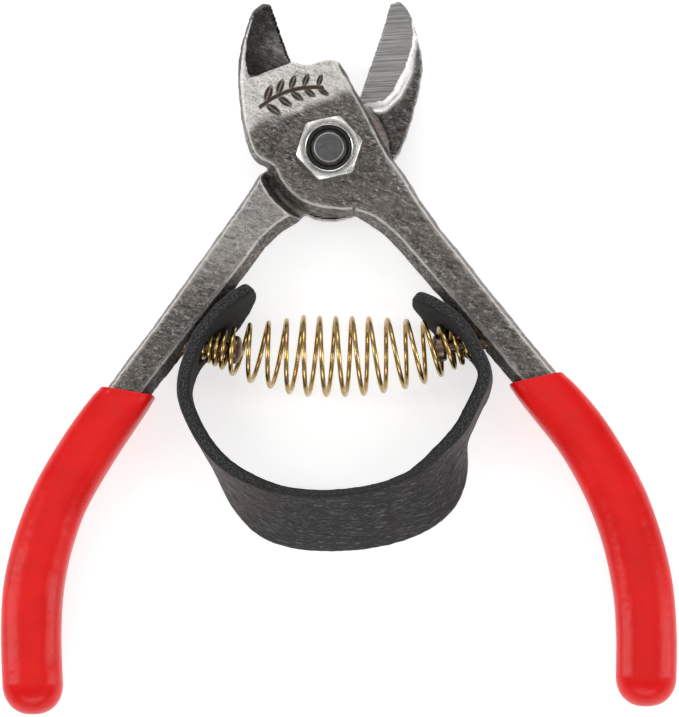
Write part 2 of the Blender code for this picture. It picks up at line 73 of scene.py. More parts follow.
HAMMER_LAY_DEG = 20.0
CREASE_LAY_DEG = -6.0

WIRE_R = 0.52
SPRING_ARC = [(-29.6, -42.2), (1.5, -44.9), (31.9, -42.0)]
SPRING_FAN = 0.08  # how far the end turns lean, as a share of their radius
SPRING_X = [(-0.4, -28.8), (0.0, -28.2), (4.0, -22.1), (5.0, -18.7), (7.0, -10.4), (12.0, 8.9),
            (14.0, 17.6), (16.0, 25.0), (17.0, 27.3), (19.4, 30.6)]
SPRING_R = [(0.0, 2.15), (1.0, 3.1), (2.0, 3.5), (3.0, 4.0), (4.0, 4.6), (5.0, 5.9), (7.0, 7.6),
            (8.0, 8.5), (11.0, 8.4), (12.0, 8.2), (14.0, 7.1), (15.0, 6.3), (16.0, 4.9),
            (17.0, 4.1), (18.0, 3.4), (19.0, 2.3)]
SPRING_Z = MID_Z + 0.5
STUD_HEAD = [(-20.9, -43.35), (23.8, -43.1)]
STUD_HEAD_R = 3.1
STUD_TILT_DEG = 7.0
STUD_POST = [12.6, 12.0]

STRAP_LINE = [(-17.3, -29.8), (-20.0, -33.0), (-24.4, -38.0), (-28.3, -42.7), (-31.2, -48.0),
              (-32.0, -53.2), (-30.4, -58.4), (-27.7, -63.4), (-24.1, -68.7), (-20.0, -73.5),
              (-15.7, -77.2), (-11.0, -79.7), (-4.0, -80.9), (4.0, -80.8), (11.0, -79.7),
              (16.6, -77.9), (20.9, -75.5), (23.9, -72.1), (26.1, -67.9), (28.0, -63.3),
              (30.1, -59.2), (31.9, -55.4), (33.5, -51.9), (33.9, -48.2), (31.9, -44.2),
              (28.1, -40.0), (24.2, -36.6), (21.0, -33.8), (18.5, -32.0)]
STRAP_T = 3.0
STRAP_W = 15.0
STRAP_TILT = [(0.0, 3.0), (0.03, 9.0), (0.06, 14.0), (0.10, 12.0), (0.14, 3.0), (0.19, 0.0),
              (0.265, 0.0), (0.30, -4.0), (0.33, -12.0), (0.365, -26.0), (0.42, -45.0), (0.50, -51.5),
              (0.60, -53.0), (0.66, -45.0), (0.70, -28.0), (0.745, -5.0), (0.79, -1.5),
              (0.83, -1.0), (0.87, 0.0), (0.905, 9.0), (0.94, 14.0), (0.97, 9.0), (1.0, 3.0)]


# ---- camera, floor and light

CAMERA_TARGET = Vector((0.0020, -0.0453, 0.010))
CAMERA_PITCH_DEG = 5.5
CAMERA_YAW_DEG = 1.5
CAMERA_AWAY = 1.5
VIEW_LONG = 0.1576  # what the longer side of the picture takes in at the target, in metres
LIGHT_AIM = Vector((0.0, -0.04, 0.01))


def new_object(name, data):
    obj = bpy.data.objects.new(name, data)
    bpy.context.scene.collection.objects.link(obj)
    return obj


def make_camera():
    pitch, yaw = math.radians(CAMERA_PITCH_DEG), math.radians(CAMERA_YAW_DEG)
    back = Vector((math.sin(yaw) * math.cos(pitch), -math.sin(pitch), math.cos(yaw) * math.cos(pitch)))
    right = Vector((0, 1, 0)).cross(back).normalized()
    up = back.cross(right)
    data = bpy.data.cameras.new("camera")
    data.sensor_width = 36.0
    data.lens = data.sensor_width * CAMERA_AWAY / VIEW_LONG
    data.clip_end = 20.0
    camera = new_object("camera", data)
    place = Matrix((right, up, back)).transposed().to_4x4()
    place.translation = CAMERA_TARGET + back * CAMERA_AWAY
    camera.matrix_world = place
    bpy.context.scene.camera = camera


def softbox(name, place, size, radiance):
    """A rectangular area light that faces the object."""
    data = bpy.data.lights.new(name, "AREA")
    data.shape = "RECTANGLE"
    data.size, data.size_y = size
    data.energy = radiance * math.pi * size[0] * size[1]
    lamp = new_object(name, data)
    lamp.location = place
    lamp.rotation_euler = (LIGHT_AIM - Vector(place)).to_track_quat("-Z", "Y").to_euler()


def make_studio():
    scene = bpy.context.scene
    scene.view_settings.view_transform = "Standard"
    world = bpy.data.worlds.new("studio")
    world.use_nodes = True
    background = world.node_tree.nodes["Background"]
    background.inputs["Color"].default_value = (1.0, 1.0, 1.0, 1.0)
    background.inputs["Strength"].default_value = 0.36
    scene.world = world
    softbox("top", (0.0, 0.15, 1.75), (1.0, 0.9), 0.75)
    softbox("left", (-0.75, -0.02, 0.50), (0.22, 0.90), 5.2)
    softbox("right", (0.75, -0.10, 0.42), (0.22, 0.90), 4.6)
    softbox("back", (-0.10, 0.75, 0.62), (0.90, 0.35), 3.2)
    softbox("front", (0.0, -0.85, 0.50), (0.90, 0.25), 3.4)


# ---- curves and noise

def curve_value(table, at):
    """Value at a place in a table of (place, value), on a smooth curve through its rows."""
    if at <= table[0][0]:
        return table[0][1]
    for k, ((a, low), (b, high)) in enumerate(zip(table, table[1:])):
        if at <= b:
            t = (at - a) / (b - a)
            rise = [row_slope(table, k) * (b - a), row_slope(table, k + 1) * (b - a)]
            bend = t * (1 - t) * ((1 - t) * rise[0] - t * rise[1])
            return low + (high - low) * t * t * (3 - 2 * t) + bend
    return table[-1][1]


def row_slope(table, k):
    (a, low), (b, middle), (c, high) = table[max(k - 1, 0)], table[k], table[min(k + 1, len(table) - 1)]
    if (middle - low) * (high - middle) <= 0:
        return 0.0
    return (high - low) / (c - a)


def smooth_line(points, steps, parts=40):
    """Evenly spaced points (steps + 1 of them) on a Catmull-Rom curve through the given ones."""
    given = np.array(points, float)
    line = np.vstack([2 * given[0] - given[1], given, 2 * given[-1] - given[-2]])
    t = np.arange(parts)[:, None] / parts
    fine = []
    for a, b, c, d in zip(line, line[1:], line[2:], line[3:]):
        square = (2 * a - 5 * b + 4 * c - d) * t**2
        cube = (3 * b - a - 3 * c + d) * t**3
        fine.append(0.5 * (2 * b + (c - a) * t + square + cube))
    fine = np.vstack(fine + [given[-1:]])
    along = distances(fine)
    want = np.linspace(0, along[-1], steps + 1)
    return np.c_[np.interp(want, along, fine[:, 0]), np.interp(want, along, fine[:, 1])]


def distances(line):
    """How far along the line each of its points is."""
    return np.r_[0, np.cumsum(np.linalg.norm(np.diff(line, axis=0), axis=1))]


def directions(line):
    way = np.gradient(line, axis=0)
    return way / np.linalg.norm(way, axis=1)[:, None]


def smoothstep(low, high, value):
    t = np.clip((value - low) / (high - low), 0, 1)
    return t * t * (3 - 2 * t)


def full_turn(steps):
    return np.linspace(0, math.tau, steps, endpoint=False)


def bell(values, middle, reach, power=2):
    """1 at the middle, and next to nothing past twice the reach."""
    return np.exp(-((values - middle) / reach) ** power)


def turned(points, degrees):
    """Points turned about the Z axis, anticlockwise from above."""
    c, s = math.cos(math.radians(degrees)), math.sin(math.radians(degrees))
    return points @ np.array([[c, s, 0.0], [-s, c, 0.0], [0.0, 0.0, 1.0]])


def lattice_noise(points, size, seed):
    """Smooth noise from -1 to 1 at each point; size is the width of one bump, per axis or for all."""
    q = np.asarray(points, float) / np.asarray(size, float) + 1000.0
    cell = np.floor(q).astype(np.int64)
    f = q - cell
    f = f * f * (3 - 2 * f)
    total = np.zeros(len(q))
    for corner in np.ndindex(2, 2, 2):
        at = cell + corner
        # Large primes mix the cell's numbers into one value for each corner.
        mixed = at[:, 0] * 73856093 ^ at[:, 1] * 19349663 ^ at[:, 2] * 83492791 ^ (seed + 1) * 50331653
        mixed = (mixed ^ (mixed >> 13)) * 1274126177 & 0xFFFFFFFF
        value = ((mixed ^ (mixed >> 16)) & 0xFFFF) / 32767.5 - 1
        share = np.prod(np.where(corner, f, 1 - f), axis=1)
        total += share * value
    return total


# ---- meshes

def capped_mesh(name, rings):
    """A closed mesh from equal rings of points, each joined to the next, with a fan on both ends."""
    rings = np.asarray(rings, float)
    count, sides = rings.shape[:2]
    points = np.vstack([rings.reshape(-1, 3), rings[0].mean(0), rings[-1].mean(0)])
    k = np.arange(sides)
    n = (k + 1) % sides
    start = (np.arange(count - 1) * sides)[:, None]
    quads = np.stack([start + k, start + n, start + sides + n, start + sides + k], axis=2)
    last = (count - 1) * sides
    fans = [np.c_[n, k, np.full(sides, count * sides)],
            np.c_[last + k, last + n, np.full(sides, count * sides + 1)]]
    mesh = bpy.data.meshes.new(name)
    faces = quads.reshape(-1, 4).tolist() + [tri for fan in fans for tri in fan.tolist()]
    mesh.from_pydata(points.tolist(), [], faces)
    turn_out(mesh)
    return mesh


def turn_out(mesh):
    bm = bmesh.new()
    bm.from_mesh(mesh)
    bmesh.ops.recalc_face_normals(bm, faces=bm.faces)
    bm.to_mesh(mesh)
    bm.free()


def get_vectors(items, key):
    values = np.empty(len(items) * 3, np.float32)
    items.foreach_get(key, values)
    return values.reshape(-1, 3).astype(float)


def get_points(mesh):
    return get_vectors(mesh.vertices, "co")


def get_normals(mesh):
    return get_vectors(mesh.vertex_normals, "vector")


def set_points(mesh, points):
    mesh.vertices.foreach_set("co", np.asarray(points, np.float32).ravel())
    mesh.update()


def set_mask(mesh, name, values):
    layer = mesh.attributes.new(name, "FLOAT", "POINT")
    layer.data.foreach_set("value", np.asarray(values, np.float32))


def edge_pairs(mesh):
    pairs = np.empty(len(mesh.edges) * 2, np.int32)
    mesh.edges.foreach_get("vertices", pairs)
    return pairs.reshape(-1, 2)


def neighbour_mean(values, pairs):
    total = np.zeros_like(values)
    count = np.zeros(len(values))
    for a, b in ((0, 1), (1, 0)):
        np.add.at(total, pairs[:, a], values[pairs[:, b]])
        np.add.at(count, pairs[:, a], 1)
    return total / count.reshape((-1,) + (1,) * (values.ndim - 1))


def relax(mesh, rounds):
    """Smooth a mesh without shrinking it."""
    pairs = edge_pairs(mesh)
    points = get_points(mesh)
    for _ in range(rounds):
        for pull in (0.5, -0.52):
            points += (neighbour_mean(points, pairs) - points) * pull
    set_points(mesh, points)


def convexity(mesh, rounds):
    """How far each vertex stands proud of its neighbours, in millimetres: below 0 in a corner."""
    pairs = edge_pairs(mesh)
    points, normals = get_points(mesh), get_normals(mesh)
    proud = ((points - neighbour_mean(points, pairs)) * normals).sum(1)
    for _ in range(rounds):
        proud = (proud + neighbour_mean(proud, pairs)) / 2
    return proud


def voxel_copy(node):
    """The shape of a CAD node as an even mesh of small quads, in millimetres."""
    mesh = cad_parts[node].data.copy()
    mesh.transform(Matrix.Scale(1 / MM, 4))
    obj = new_object(node, mesh)
    remesh = obj.modifiers.new("remesh", "REMESH")
    remesh.mode = "VOXEL"
    remesh.voxel_size = VOXEL
    return bake_modifiers(obj)


def bake_modifiers(obj):
    bpy.context.view_layer.update()
    evaluated = obj.evaluated_get(bpy.context.evaluated_depsgraph_get())
    made = bpy.data.meshes.new_from_object(evaluated)
    made.name = obj.name
    bpy.data.objects.remove(obj)
    return made


def add_piece(name, mesh, finish, node, body=None):
    """Turn a mesh in millimetres into a piece that stands for a CAD node and rides on a body."""
    mesh.transform(Matrix.Scale(MM, 4))
    mesh.materials.clear()
    mesh.materials.append(finish)
    mesh.shade_smooth()
    obj = new_object(name, mesh)
    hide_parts(node)
    if body:
        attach(obj, body)
    return obj


# ---- materials

class Nodes:
    """A material's node tree, with a short way to write each kind of node."""

    def __init__(self, name, **fixed):
        self.material = bpy.data.materials.new(name)
        self.material.use_nodes = True
        self.tree = self.material.node_tree
        self.shader = self.tree.nodes["Principled BSDF"]
        for socket, value in fixed.items():
            self.shader.inputs[socket.replace("_", " ")].default_value = value

    def plug(self, value, socket):
        if isinstance(value, bpy.types.NodeSocket):
            self.tree.links.new(value, socket)
        else:
            socket.default_value = value

    def add(self, kind, settings=None, **inputs):
        node = self.tree.nodes.new(kind)
        for key, value in (settings or {}).items():
            setattr(node, key, value)
        for key, value in inputs.items():
            self.plug(value, node.inputs[key.replace("_", " ")])
        return node

    def place(self, kind, stretch, turn_deg):
        """Coordinates turned about Z and then stretched."""
        source = self.add("ShaderNodeTexCoord").outputs[kind]
        turn = (0.0, 0.0, math.radians(turn_deg))
        turned = self.add("ShaderNodeMapping", Vector=source, Rotation=turn).outputs[0]
        return self.add("ShaderNodeMapping", Vector=turned, Scale=stretch).outputs[0]

    def mm(self, stretch=(1.0, 1.0, 1.0), turn_deg=0.0):
        """Object coordinates in millimetres."""
        return self.place("Object", tuple(s / MM for s in stretch), turn_deg)

    def uv(self, stretch=(1.0, 1.0, 1.0), turn_deg=0.0):
        return self.place("UV", stretch, turn_deg)

    def noise(self, where, scale, detail=4.0, roughness=0.55, distortion=0.0):
        return self.add("ShaderNodeTexNoise", Vector=where, Scale=scale, Detail=detail,
                        Roughness=roughness, Distortion=distortion).outputs["Fac"]

    def cells(self, where, scale):
        return self.add("ShaderNodeTexVoronoi", {"feature": "F1"}, Vector=where,
                        Scale=scale).outputs["Distance"]

    def mask(self, name):
        return self.add("ShaderNodeAttribute", {"attribute_name": name}).outputs["Fac"]

    def ramp(self, fac, *stops):
        """Colours, or numbers as greys, at places from 0 to 1."""
        node = self.add("ShaderNodeValToRGB", Fac=fac)
        ramp = node.color_ramp
        while len(ramp.elements) < len(stops):
            ramp.elements.new(0.5)
        for element, (place, colour) in zip(ramp.elements, stops):
            element.position = place
            element.color = (*(colour if isinstance(colour, tuple) else (colour,) * 3), 1.0)
        return node.outputs["Color"]

    def span(self, value, low, high, to_low=0.0, to_high=1.0):
        """Map a number from one span to another, and keep it inside."""
        return self.add("ShaderNodeMapRange", Value=value, From_Min=low, From_Max=high,
                        To_Min=to_low, To_Max=to_high).outputs["Result"]

    def math(self, operation, a, b=0.0):
        node = self.add("ShaderNodeMath", {"operation": operation})
        self.plug(a, node.inputs[0])
        self.plug(b, node.inputs[1])
        return node.outputs[0]

    def times(self, a, b):
        return self.math("MULTIPLY", a, b)

    def mix(self, fac, a, b):
        """Mix of two colours."""
        node = self.add("ShaderNodeMix", {"data_type": "RGBA"})
        self.plug(fac, node.inputs[0])
        for value, socket in ((a, node.inputs[6]), (b, node.inputs[7])):
            self.plug((*value, 1.0) if isinstance(value, tuple) else value, socket)
        return node.outputs[2]

    def blend(self, fac, a, b):
        """Mix of two numbers."""
        node = self.add("ShaderNodeMix", {"data_type": "FLOAT"})
        for value, socket in ((fac, node.inputs[0]), (a, node.inputs[2]), (b, node.inputs[3])):
            self.plug(value, socket)
        return node.outputs[0]

    def bump(self, height, depth_mm, under=None):
        """Bump whose height runs from 0 to 1 over a depth in millimetres."""
        node = self.add("ShaderNodeBump", Height=height, Distance=depth_mm * MM)
        if under is not None:
            self.plug(under, node.inputs["Normal"])
        return node.outputs["Normal"]

    def finish(self, colour, roughness, normal=None):
        for value, socket in ((colour, "Base Color"), (roughness, "Roughness"), (normal, "Normal")):
            if value is not None:
                self.plug(value, self.shader.inputs[socket])
        return self.material


def forged_steel():
    """Scaled and tumbled forging: dark pitted skin, ground faces, bright rims that are partly scuffed and
    partly painted highlight, painted highlights on the ridges, and painted shade in corners and in the
    jaw's hollow.
    """
    n = Nodes("forged_steel", Metallic=1.0)
    patches = n.noise(n.mm(), 0.14, 5, 0.6)
    dents = n.noise(n.mm((0.8, 1.9, 1.0), HAMMER_LAY_DEG), 0.72, 6, 0.66, 0.6)
    ridges = n.noise(n.mm((0.9, 2.2, 1.0), HAMMER_LAY_DEG), 1.0, 3, 0.5, 1.2)
    grains = n.noise(n.mm(), 1.7, 5, 0.70)
    specks = n.noise(n.mm(), 2.3, 3, 0.6)
    skin = n.ramp(dents, (0.32, (0.028, 0.024, 0.021)), (0.44, (0.118, 0.109, 0.100)),
                  (0.56, (0.215, 0.200, 0.186)), (0.68, (0.48, 0.46, 0.44)))
    skin = n.mix(n.span(grains, 0.47, 0.38, 0.0, 0.80), skin, (0.020, 0.017, 0.015))
    # Painted highlight: pale streaks on the ridges of the hammered relief.
    skin = n.mix(n.span(ridges, 0.58, 0.70, 0.0, 0.85), skin, (0.72, 0.70, 0.67))
    skin = n.mix(n.span(patches, 0.40, 0.66, 0.0, 0.45), skin, (0.28, 0.235, 0.20))
    worn_and_highlit = n.ramp(dents, (0.30, (0.40, 0.37, 0.345)), (0.44, (0.64, 0.615, 0.59)),
                  (0.62, (0.84, 0.82, 0.79)))
    worn_and_highlit = n.mix(n.span(specks, 0.40, 0.34, 0.0, 0.9), worn_and_highlit, (0.10, 0.080, 0.066))
    worn_and_highlit = n.mix(n.span(grains, 0.40, 0.33, 0.0, 0.7), worn_and_highlit, (0.20, 0.165, 0.14))
    # The bright mask puts this colour on the scuffed plate and the lighter tang, and as a painted highlight
    # along the grainy edge of the jaw's hollow.
    bright_area = n.times(n.mask("bright"), n.span(dents, 0.22, 0.42, 0.55, 1.0))
    # Painted highlight, partly scuffed edges: bright lines on convex rims and on slanting faces.
    rims = n.times(n.mask("edge_rub_and_highlight"), n.span(dents, 0.25, 0.5, 0.6, 1.0))
    metal = n.mix(bright_area, skin, worn_and_highlit)
    metal = n.mix(rims, metal, (0.88, 0.86, 0.83))
    brushed = n.noise(n.mm((0.05, 3.4, 0.2), -3.0), 1.0, 4, 0.75)
    ground = n.ramp(brushed, (0.34, (0.16, 0.155, 0.15)), (0.5, (0.31, 0.303, 0.296)),
                    (0.66, (0.49, 0.48, 0.47)))
    metal = n.mix(n.mask("ground"), metal, ground)
    polished = n.ramp(specks, (0.30, (0.50, 0.49, 0.47)), (0.46, (0.95, 0.94, 0.92)))
    metal = n.mix(n.mask("polish"), metal, polished)
    # The dark mask is painted shade in concave corners and in the jaw's hollow, the dark of the stamping,
    # and a darker side of the rear jaw.
    metal = n.mix(n.mask("dark"), metal, n.mix(0.80, metal, (0.018, 0.016, 0.017)))
    metal = n.mix(n.mask("rust"), metal, n.mix(0.55, metal, (0.20, 0.13, 0.085)))
    rough = n.span(grains, 0.3, 0.7, 0.50, 0.30)
    rough = n.blend(n.mask("bright"), rough, n.span(specks, 0.3, 0.6, 0.52, 0.34))
    rough = n.blend(n.mask("ground"), rough, n.span(brushed, 0.3, 0.7, 0.44, 0.30))
    rough = n.blend(n.mask("edge_rub_and_highlight"), rough, 0.27)
    rough = n.blend(n.mask("polish"), rough, 0.34)
    smooth = n.math("MAXIMUM", n.mask("ground"), n.mask("polish"))
    rugged = n.math("SUBTRACT", 1.0, n.times(smooth, 0.85))
    rugged = n.times(rugged, n.span(n.mask("bright"), 0, 1, 1.0, 0.6))
    normal = None
    for height, depth_mm in ((dents, 0.50), (ridges, 0.60), (grains, 0.34)):
        normal = n.bump(n.times(rugged, height), depth_mm, normal)
    normal = n.bump(n.times(brushed, n.mask("ground")), 0.03, normal)
    return n.finish(metal, rough, normal)


def zinc_plate():
    """Zinc plated nut: bright flats and rims, a mottled grey top."""
    n = Nodes("zinc_plate", Metallic=1.0)
    cloud = n.noise(n.mm(), 0.8, 5, 0.6)
    fine = n.noise(n.mm(), 3.2, 5, 0.7)
    colour = n.ramp(cloud, (0.3, (0.60, 0.60, 0.57)), (0.6, (0.80, 0.80, 0.77)))
    mottled = n.ramp(fine, (0.36, (0.07, 0.065, 0.058)), (0.50, (0.23, 0.22, 0.205)),
                     (0.66, (0.52, 0.51, 0.48)))
    colour = n.mix(n.mask("face"), colour, mottled)
    colour = n.mix(n.span(fine, 0.36, 0.28, 0, 0.8), colour, (0.16, 0.15, 0.13))
    # Painted shade inside the nut's bore.
    colour = n.mix(n.mask("dark"), colour, (0.04, 0.036, 0.033))
    rough = n.span(fine, 0.3, 0.7, 0.32, 0.16)
    normal = n.bump(n.math("ADD", cloud, n.times(fine, 0.4)), 0.08)
    return n.finish(colour, rough, normal)


def black_steel():
    """Blackened bolt with a painted highlight, a bright ring round the chamfer at its end."""
    n = Nodes("black_steel", Metallic=1.0)
    cloud = n.noise(n.mm(), 0.9, 6, 0.65)
    fine = n.noise(n.mm(), 5.0, 3)
    colour = n.ramp(cloud, (0.3, (0.045, 0.043, 0.042)), (0.7, (0.12, 0.115, 0.112)))
    # Painted highlight on the chamfer at the bolt's end.
    colour = n.mix(n.mask("bright"), colour, (0.62, 0.61, 0.60))
    face = n.ramp(cloud, (0.3, (0.095, 0.093, 0.097)), (0.7, (0.150, 0.147, 0.153)))
    colour = n.mix(n.mask("face"), colour, face)
    rough = n.span(cloud, 0.3, 0.7, 0.58, 0.42)
    return n.finish(colour, rough, n.bump(n.math("ADD", cloud, fine), 0.05))


def stud_steel():
    """Browned steel of the studs, with lighter rubbed patches."""
    n = Nodes("stud_steel", Metallic=1.0)
    cloud = n.noise(n.mm(), 0.7, 5, 0.6)
    fine = n.noise(n.mm(), 5.0, 4)
    colour = n.ramp(cloud, (0.3, (0.09, 0.062, 0.046)), (0.6, (0.21, 0.150, 0.112)),
                    (0.8, (0.38, 0.29, 0.225)))
    rough = n.span(fine, 0.3, 0.7, 0.34, 0.20)
    return n.finish(colour, rough, n.bump(n.math("ADD", cloud, fine), 0.05))


def nylon():
    """Dark nylon of the nut's locking ring."""
    n = Nodes("nylon", Specular_IOR_Level=0.35)
    cloud = n.noise(n.mm(), 1.5, 4)
    colour = n.ramp(cloud, (0.3, (0.010, 0.009, 0.009)), (0.7, (0.028, 0.024, 0.022)))
    return n.finish(colour, n.span(cloud, 0.3, 0.7, 0.6, 0.45), n.bump(cloud, 0.05))


def yellow_zinc():
    """Yellow passivated wire: gold with rose and green tints that change along it."""
    n = Nodes("yellow_zinc", Metallic=1.0)
    along = n.noise(n.uv((0.25, 0.0, 0.0)), 1.0, 3)
    patches = n.noise(n.uv((0.30, 0.75, 0.0)), 1.0, 4, 0.65)
    fine = n.noise(n.mm(), 3.0, 4)
    gold = n.ramp(patches, (0.32, (0.30, 0.27, 0.07)), (0.44, (0.46, 0.32, 0.11)),
                  (0.58, (0.60, 0.40, 0.16)), (0.70, (0.50, 0.27, 0.19)))
    gold = n.mix(n.span(along, 0.54, 0.68, 0, 0.7), gold, (0.42, 0.20, 0.20))
    gold = n.mix(n.span(along, 0.44, 0.32, 0, 0.7), gold, (0.33, 0.36, 0.12))
    gold = n.mix(n.span(fine, 0.42, 0.30, 0, 0.7), gold, (0.09, 0.05, 0.025))
    rough = n.span(fine, 0.3, 0.7, 0.28, 0.14)
    return n.finish(gold, rough, n.bump(fine, 0.03))


def leather():
    """Black strap leather: creased grain outside, fibrous cut edges and a napped flesh side."""
    n = Nodes("leather", Specular_IOR_Level=0.5)
    waves = n.noise(n.uv((0.34, 1.5, 1.0), CREASE_LAY_DEG), 1.0, 5, 0.68, 0.7)
    fold = n.math("ABSOLUTE", n.math("SUBTRACT", waves, 0.5))
    creases = n.math("ADD", n.span(fold, 0.0, 0.10, 0.0, 0.5), n.times(waves, 0.5))
    grain = n.cells(n.uv(), 2.0)
    fibres = n.noise(n.uv((0.9, 1.6, 1.0)), 1.7, 6, 0.75)
    flecks = n.noise(n.uv(), 2.6, 4, 0.7)
    tint = n.noise(n.uv((0.03, 0.03, 1.0)), 1.0, 2)
    # Painted shade: the grain is darkest in the crease lines that the bump sinks, and lighter on the crests
    # between them.
    skin = n.ramp(creases, (0.22, (0.007, 0.007, 0.0073)), (0.50, (0.027, 0.027, 0.028)),
                  (0.80, (0.072, 0.072, 0.074)))
    skin = n.mix(n.span(tint, 0.48, 0.64, 0, 0.5), skin, (0.060, 0.030, 0.028))
    cut = n.ramp(fibres, (0.38, 0.002), (0.52, (0.010, 0.010, 0.011)),
                 (0.64, (0.070, 0.070, 0.073)))
    cut = n.mix(n.span(flecks, 0.54, 0.64, 0, 0.7), cut, (0.16, 0.16, 0.165))
    flesh = n.ramp(fibres, (0.3, 0.004), (0.7, (0.020, 0.019, 0.019)))
    colour = n.mix(n.mask("cut_edge"), skin, cut)
    colour = n.mix(n.mask("flesh"), colour, flesh)
    # Painted highlight along the rounded top edge of the outer face.
    colour = n.mix(n.mask("top_edge_highlight"), colour, (0.10, 0.10, 0.105))
    colour = n.mix(n.mask("rim"), colour, (0.005, 0.005, 0.0055))
    rough = n.blend(n.mask("cut_edge"), n.span(creases, 0.2, 0.8, 0.62, 0.40), 0.85)
    rough = n.blend(n.mask("flesh"), rough, 0.92)
    relief = n.math("ADD", creases, n.times(grain, 0.25))
    relief = n.blend(n.mask("cut_edge"), relief, n.math("ADD", fibres, flecks))
    return n.finish(colour, rough, n.bump(relief, 0.30))


def red_vinyl():
    """Dipped vinyl: a soft gloss with faint flow waves, and painted shade inside the mouth."""
    n = Nodes("red_vinyl", Specular_IOR_Level=0.28)
    flow = n.noise(n.mm(), 0.09, 3)
    peel = n.noise(n.mm(), 0.8, 3)
    specks = n.noise(n.mm(), 3.0, 2)
    colour = n.ramp(flow, (0.3, (0.60, 0.002, 0.0015)), (0.7, (0.74, 0.004, 0.003)))
    # Painted shade inside the sleeve's mouth.
    colour = n.mix(n.mask("mouth_shade"), colour, (0.36, 0.002, 0.002))
    rough = n.math("ADD", n.span(flow, 0.3, 0.7, 0.24, 0.32), n.span(specks, 0.35, 0.7, 0.0, 0.08))
    normal = n.bump(peel, 0.05, n.bump(flow, 0.5))
    return n.finish(colour, rough, normal)


def floor_paint():
    """White light table: it glows a little, so that shadows on it stay pale."""
    n = Nodes("floor_paint", Specular_IOR_Level=0.1, Emission_Color=(1.0, 1.0, 1.0, 1.0),
              Emission_Strength=0.62)
    grain = n.noise(n.mm(), 0.2, 3)
    colour = n.ramp(grain, (0.3, 0.60), (0.7, 0.62))
    return n.finish(colour, n.span(grain, 0.3, 0.7, 0.85, 0.95))


# ---- levers

VOXEL = 0.33
HAMMER = [(6.0, 0.07), (2.6, 0.08), ((2.4, 0.9, 1.2), 0.09), (0.8, 0.03)]  # (size of the dents, depth)
JAW_FROM_Y = 9.0
GROUND_HUB_R = 13.2
BEARING_DISC_R = 12.0
SPRIG_AT = (-8.6, 12.6)
SPRIG_ROOM = (10.0, 7.5)
SPRIG_TURN_DEG = 17.0
SPRIG_DEPTH = 0.42
SPRIG_HALF_LENGTH = 7.4
LEAF_PAIRS = 5
LEAF_LEAN_DEG = 52.0
LEAF_LONG = 2.25
LEAF_WIDE = 0.92
PLATE_WORN_ABOVE = [(-30.0, 2.0), (-18.2, 5.0), (-6.8, 8.1), (2.4, 12.4), (10.0, 16.0)]
RELIEF_SHORE = [(17.5, 29.2), (17.6, 26.7), (17.1, 24.2), (15.6, 19.4), (13.2, 14.2), (10.9, 12.1),
                (5.0, 11.6)]
HOLLOW_FROM_Y = 17.0
HUB_FILL = 1.1
CROTCH_FILL = 1.5
CUSP_ROUNDS = 14
CUSP_PULL = 0.8
JAW_SPREAD = {"front_lever": 0.2, "rear_lever": 0.4}
TIP_STRETCH = 0.75


def line_distance(points, line):
    """Distance in the plane from each point to a chain of straight runs."""
    best = np.full(len(points), np.inf)
    for a, b in zip(np.array(line[:-1], float), np.array(line[1:], float)):
        run = b - a
        t = np.clip(((points[:, :2] - a) @ run) / (run @ run), 0, 1)
        best = np.minimum(best, np.linalg.norm(points[:, :2] - a - t[:, None] * run, axis=1))
    return best


def sprig_depth(points, normals):
    """How deep the stamped leaf sprig is at each point, from 0 to 1."""
    turn = math.radians(SPRIG_TURN_DEG)
    x, y = points[:, 0] - SPRIG_AT[0], points[:, 1] - SPRIG_AT[1]
    along, up = x * math.cos(turn) + y * math.sin(turn), y * math.cos(turn) - x * math.sin(turn)
    half = SPRIG_HALF_LENGTH

    def stem(t):
        return 0.9 - 1.6 * (t / half) ** 2

    depth = smoothstep(0.55, 0.25, np.abs(up - stem(along))) * (np.abs(along) < half)
    for k in range(LEAF_PAIRS):
        root = half * (-0.80 + 1.62 * k / (LEAF_PAIRS - 1))
        size = 1.0 - 0.07 * k
        reach = LEAF_LONG * size
        for side in (-1, 1):
            lean = math.radians(LEAF_LEAN_DEG * side)
            dx = along - root - reach * math.cos(lean) * 0.95
            dy = up - stem(root) - reach * math.sin(lean) * 1.05
            far = (dx * math.cos(lean) + dy * math.sin(lean)) / reach
            wide = (dy * math.cos(lean) - dx * math.sin(lean)) / (LEAF_WIDE * size)
            leaf = smoothstep(-0.05, 0.3, 1 - np.abs(wide) - far**2)
            vein = smoothstep(0.10, 0.26, np.abs(wide) + 0.05 * (np.abs(far) > 0.8))
            depth = np.maximum(depth, leaf * (0.35 + 0.65 * vein))
    on_top = smoothstep(TOP_Z - 1.0, TOP_Z - 0.4, points[:, 2]) * smoothstep(0.5, 0.9, normals[:, 2])
    return depth * on_top


def refine(mesh, chosen):
    """Halve the edges of the chosen part of a mesh."""
    bm = bmesh.new()
    bm.from_mesh(mesh)
    bm.verts.ensure_lookup_table()
    edges = [e for e in bm.edges if chosen[e.verts[0].index] and chosen[e.verts[1].index]]
    bmesh.ops.subdivide_edges(bm, edges=edges, cuts=1, use_grid_fill=True)
    bm.to_mesh(mesh)
    bm.free()


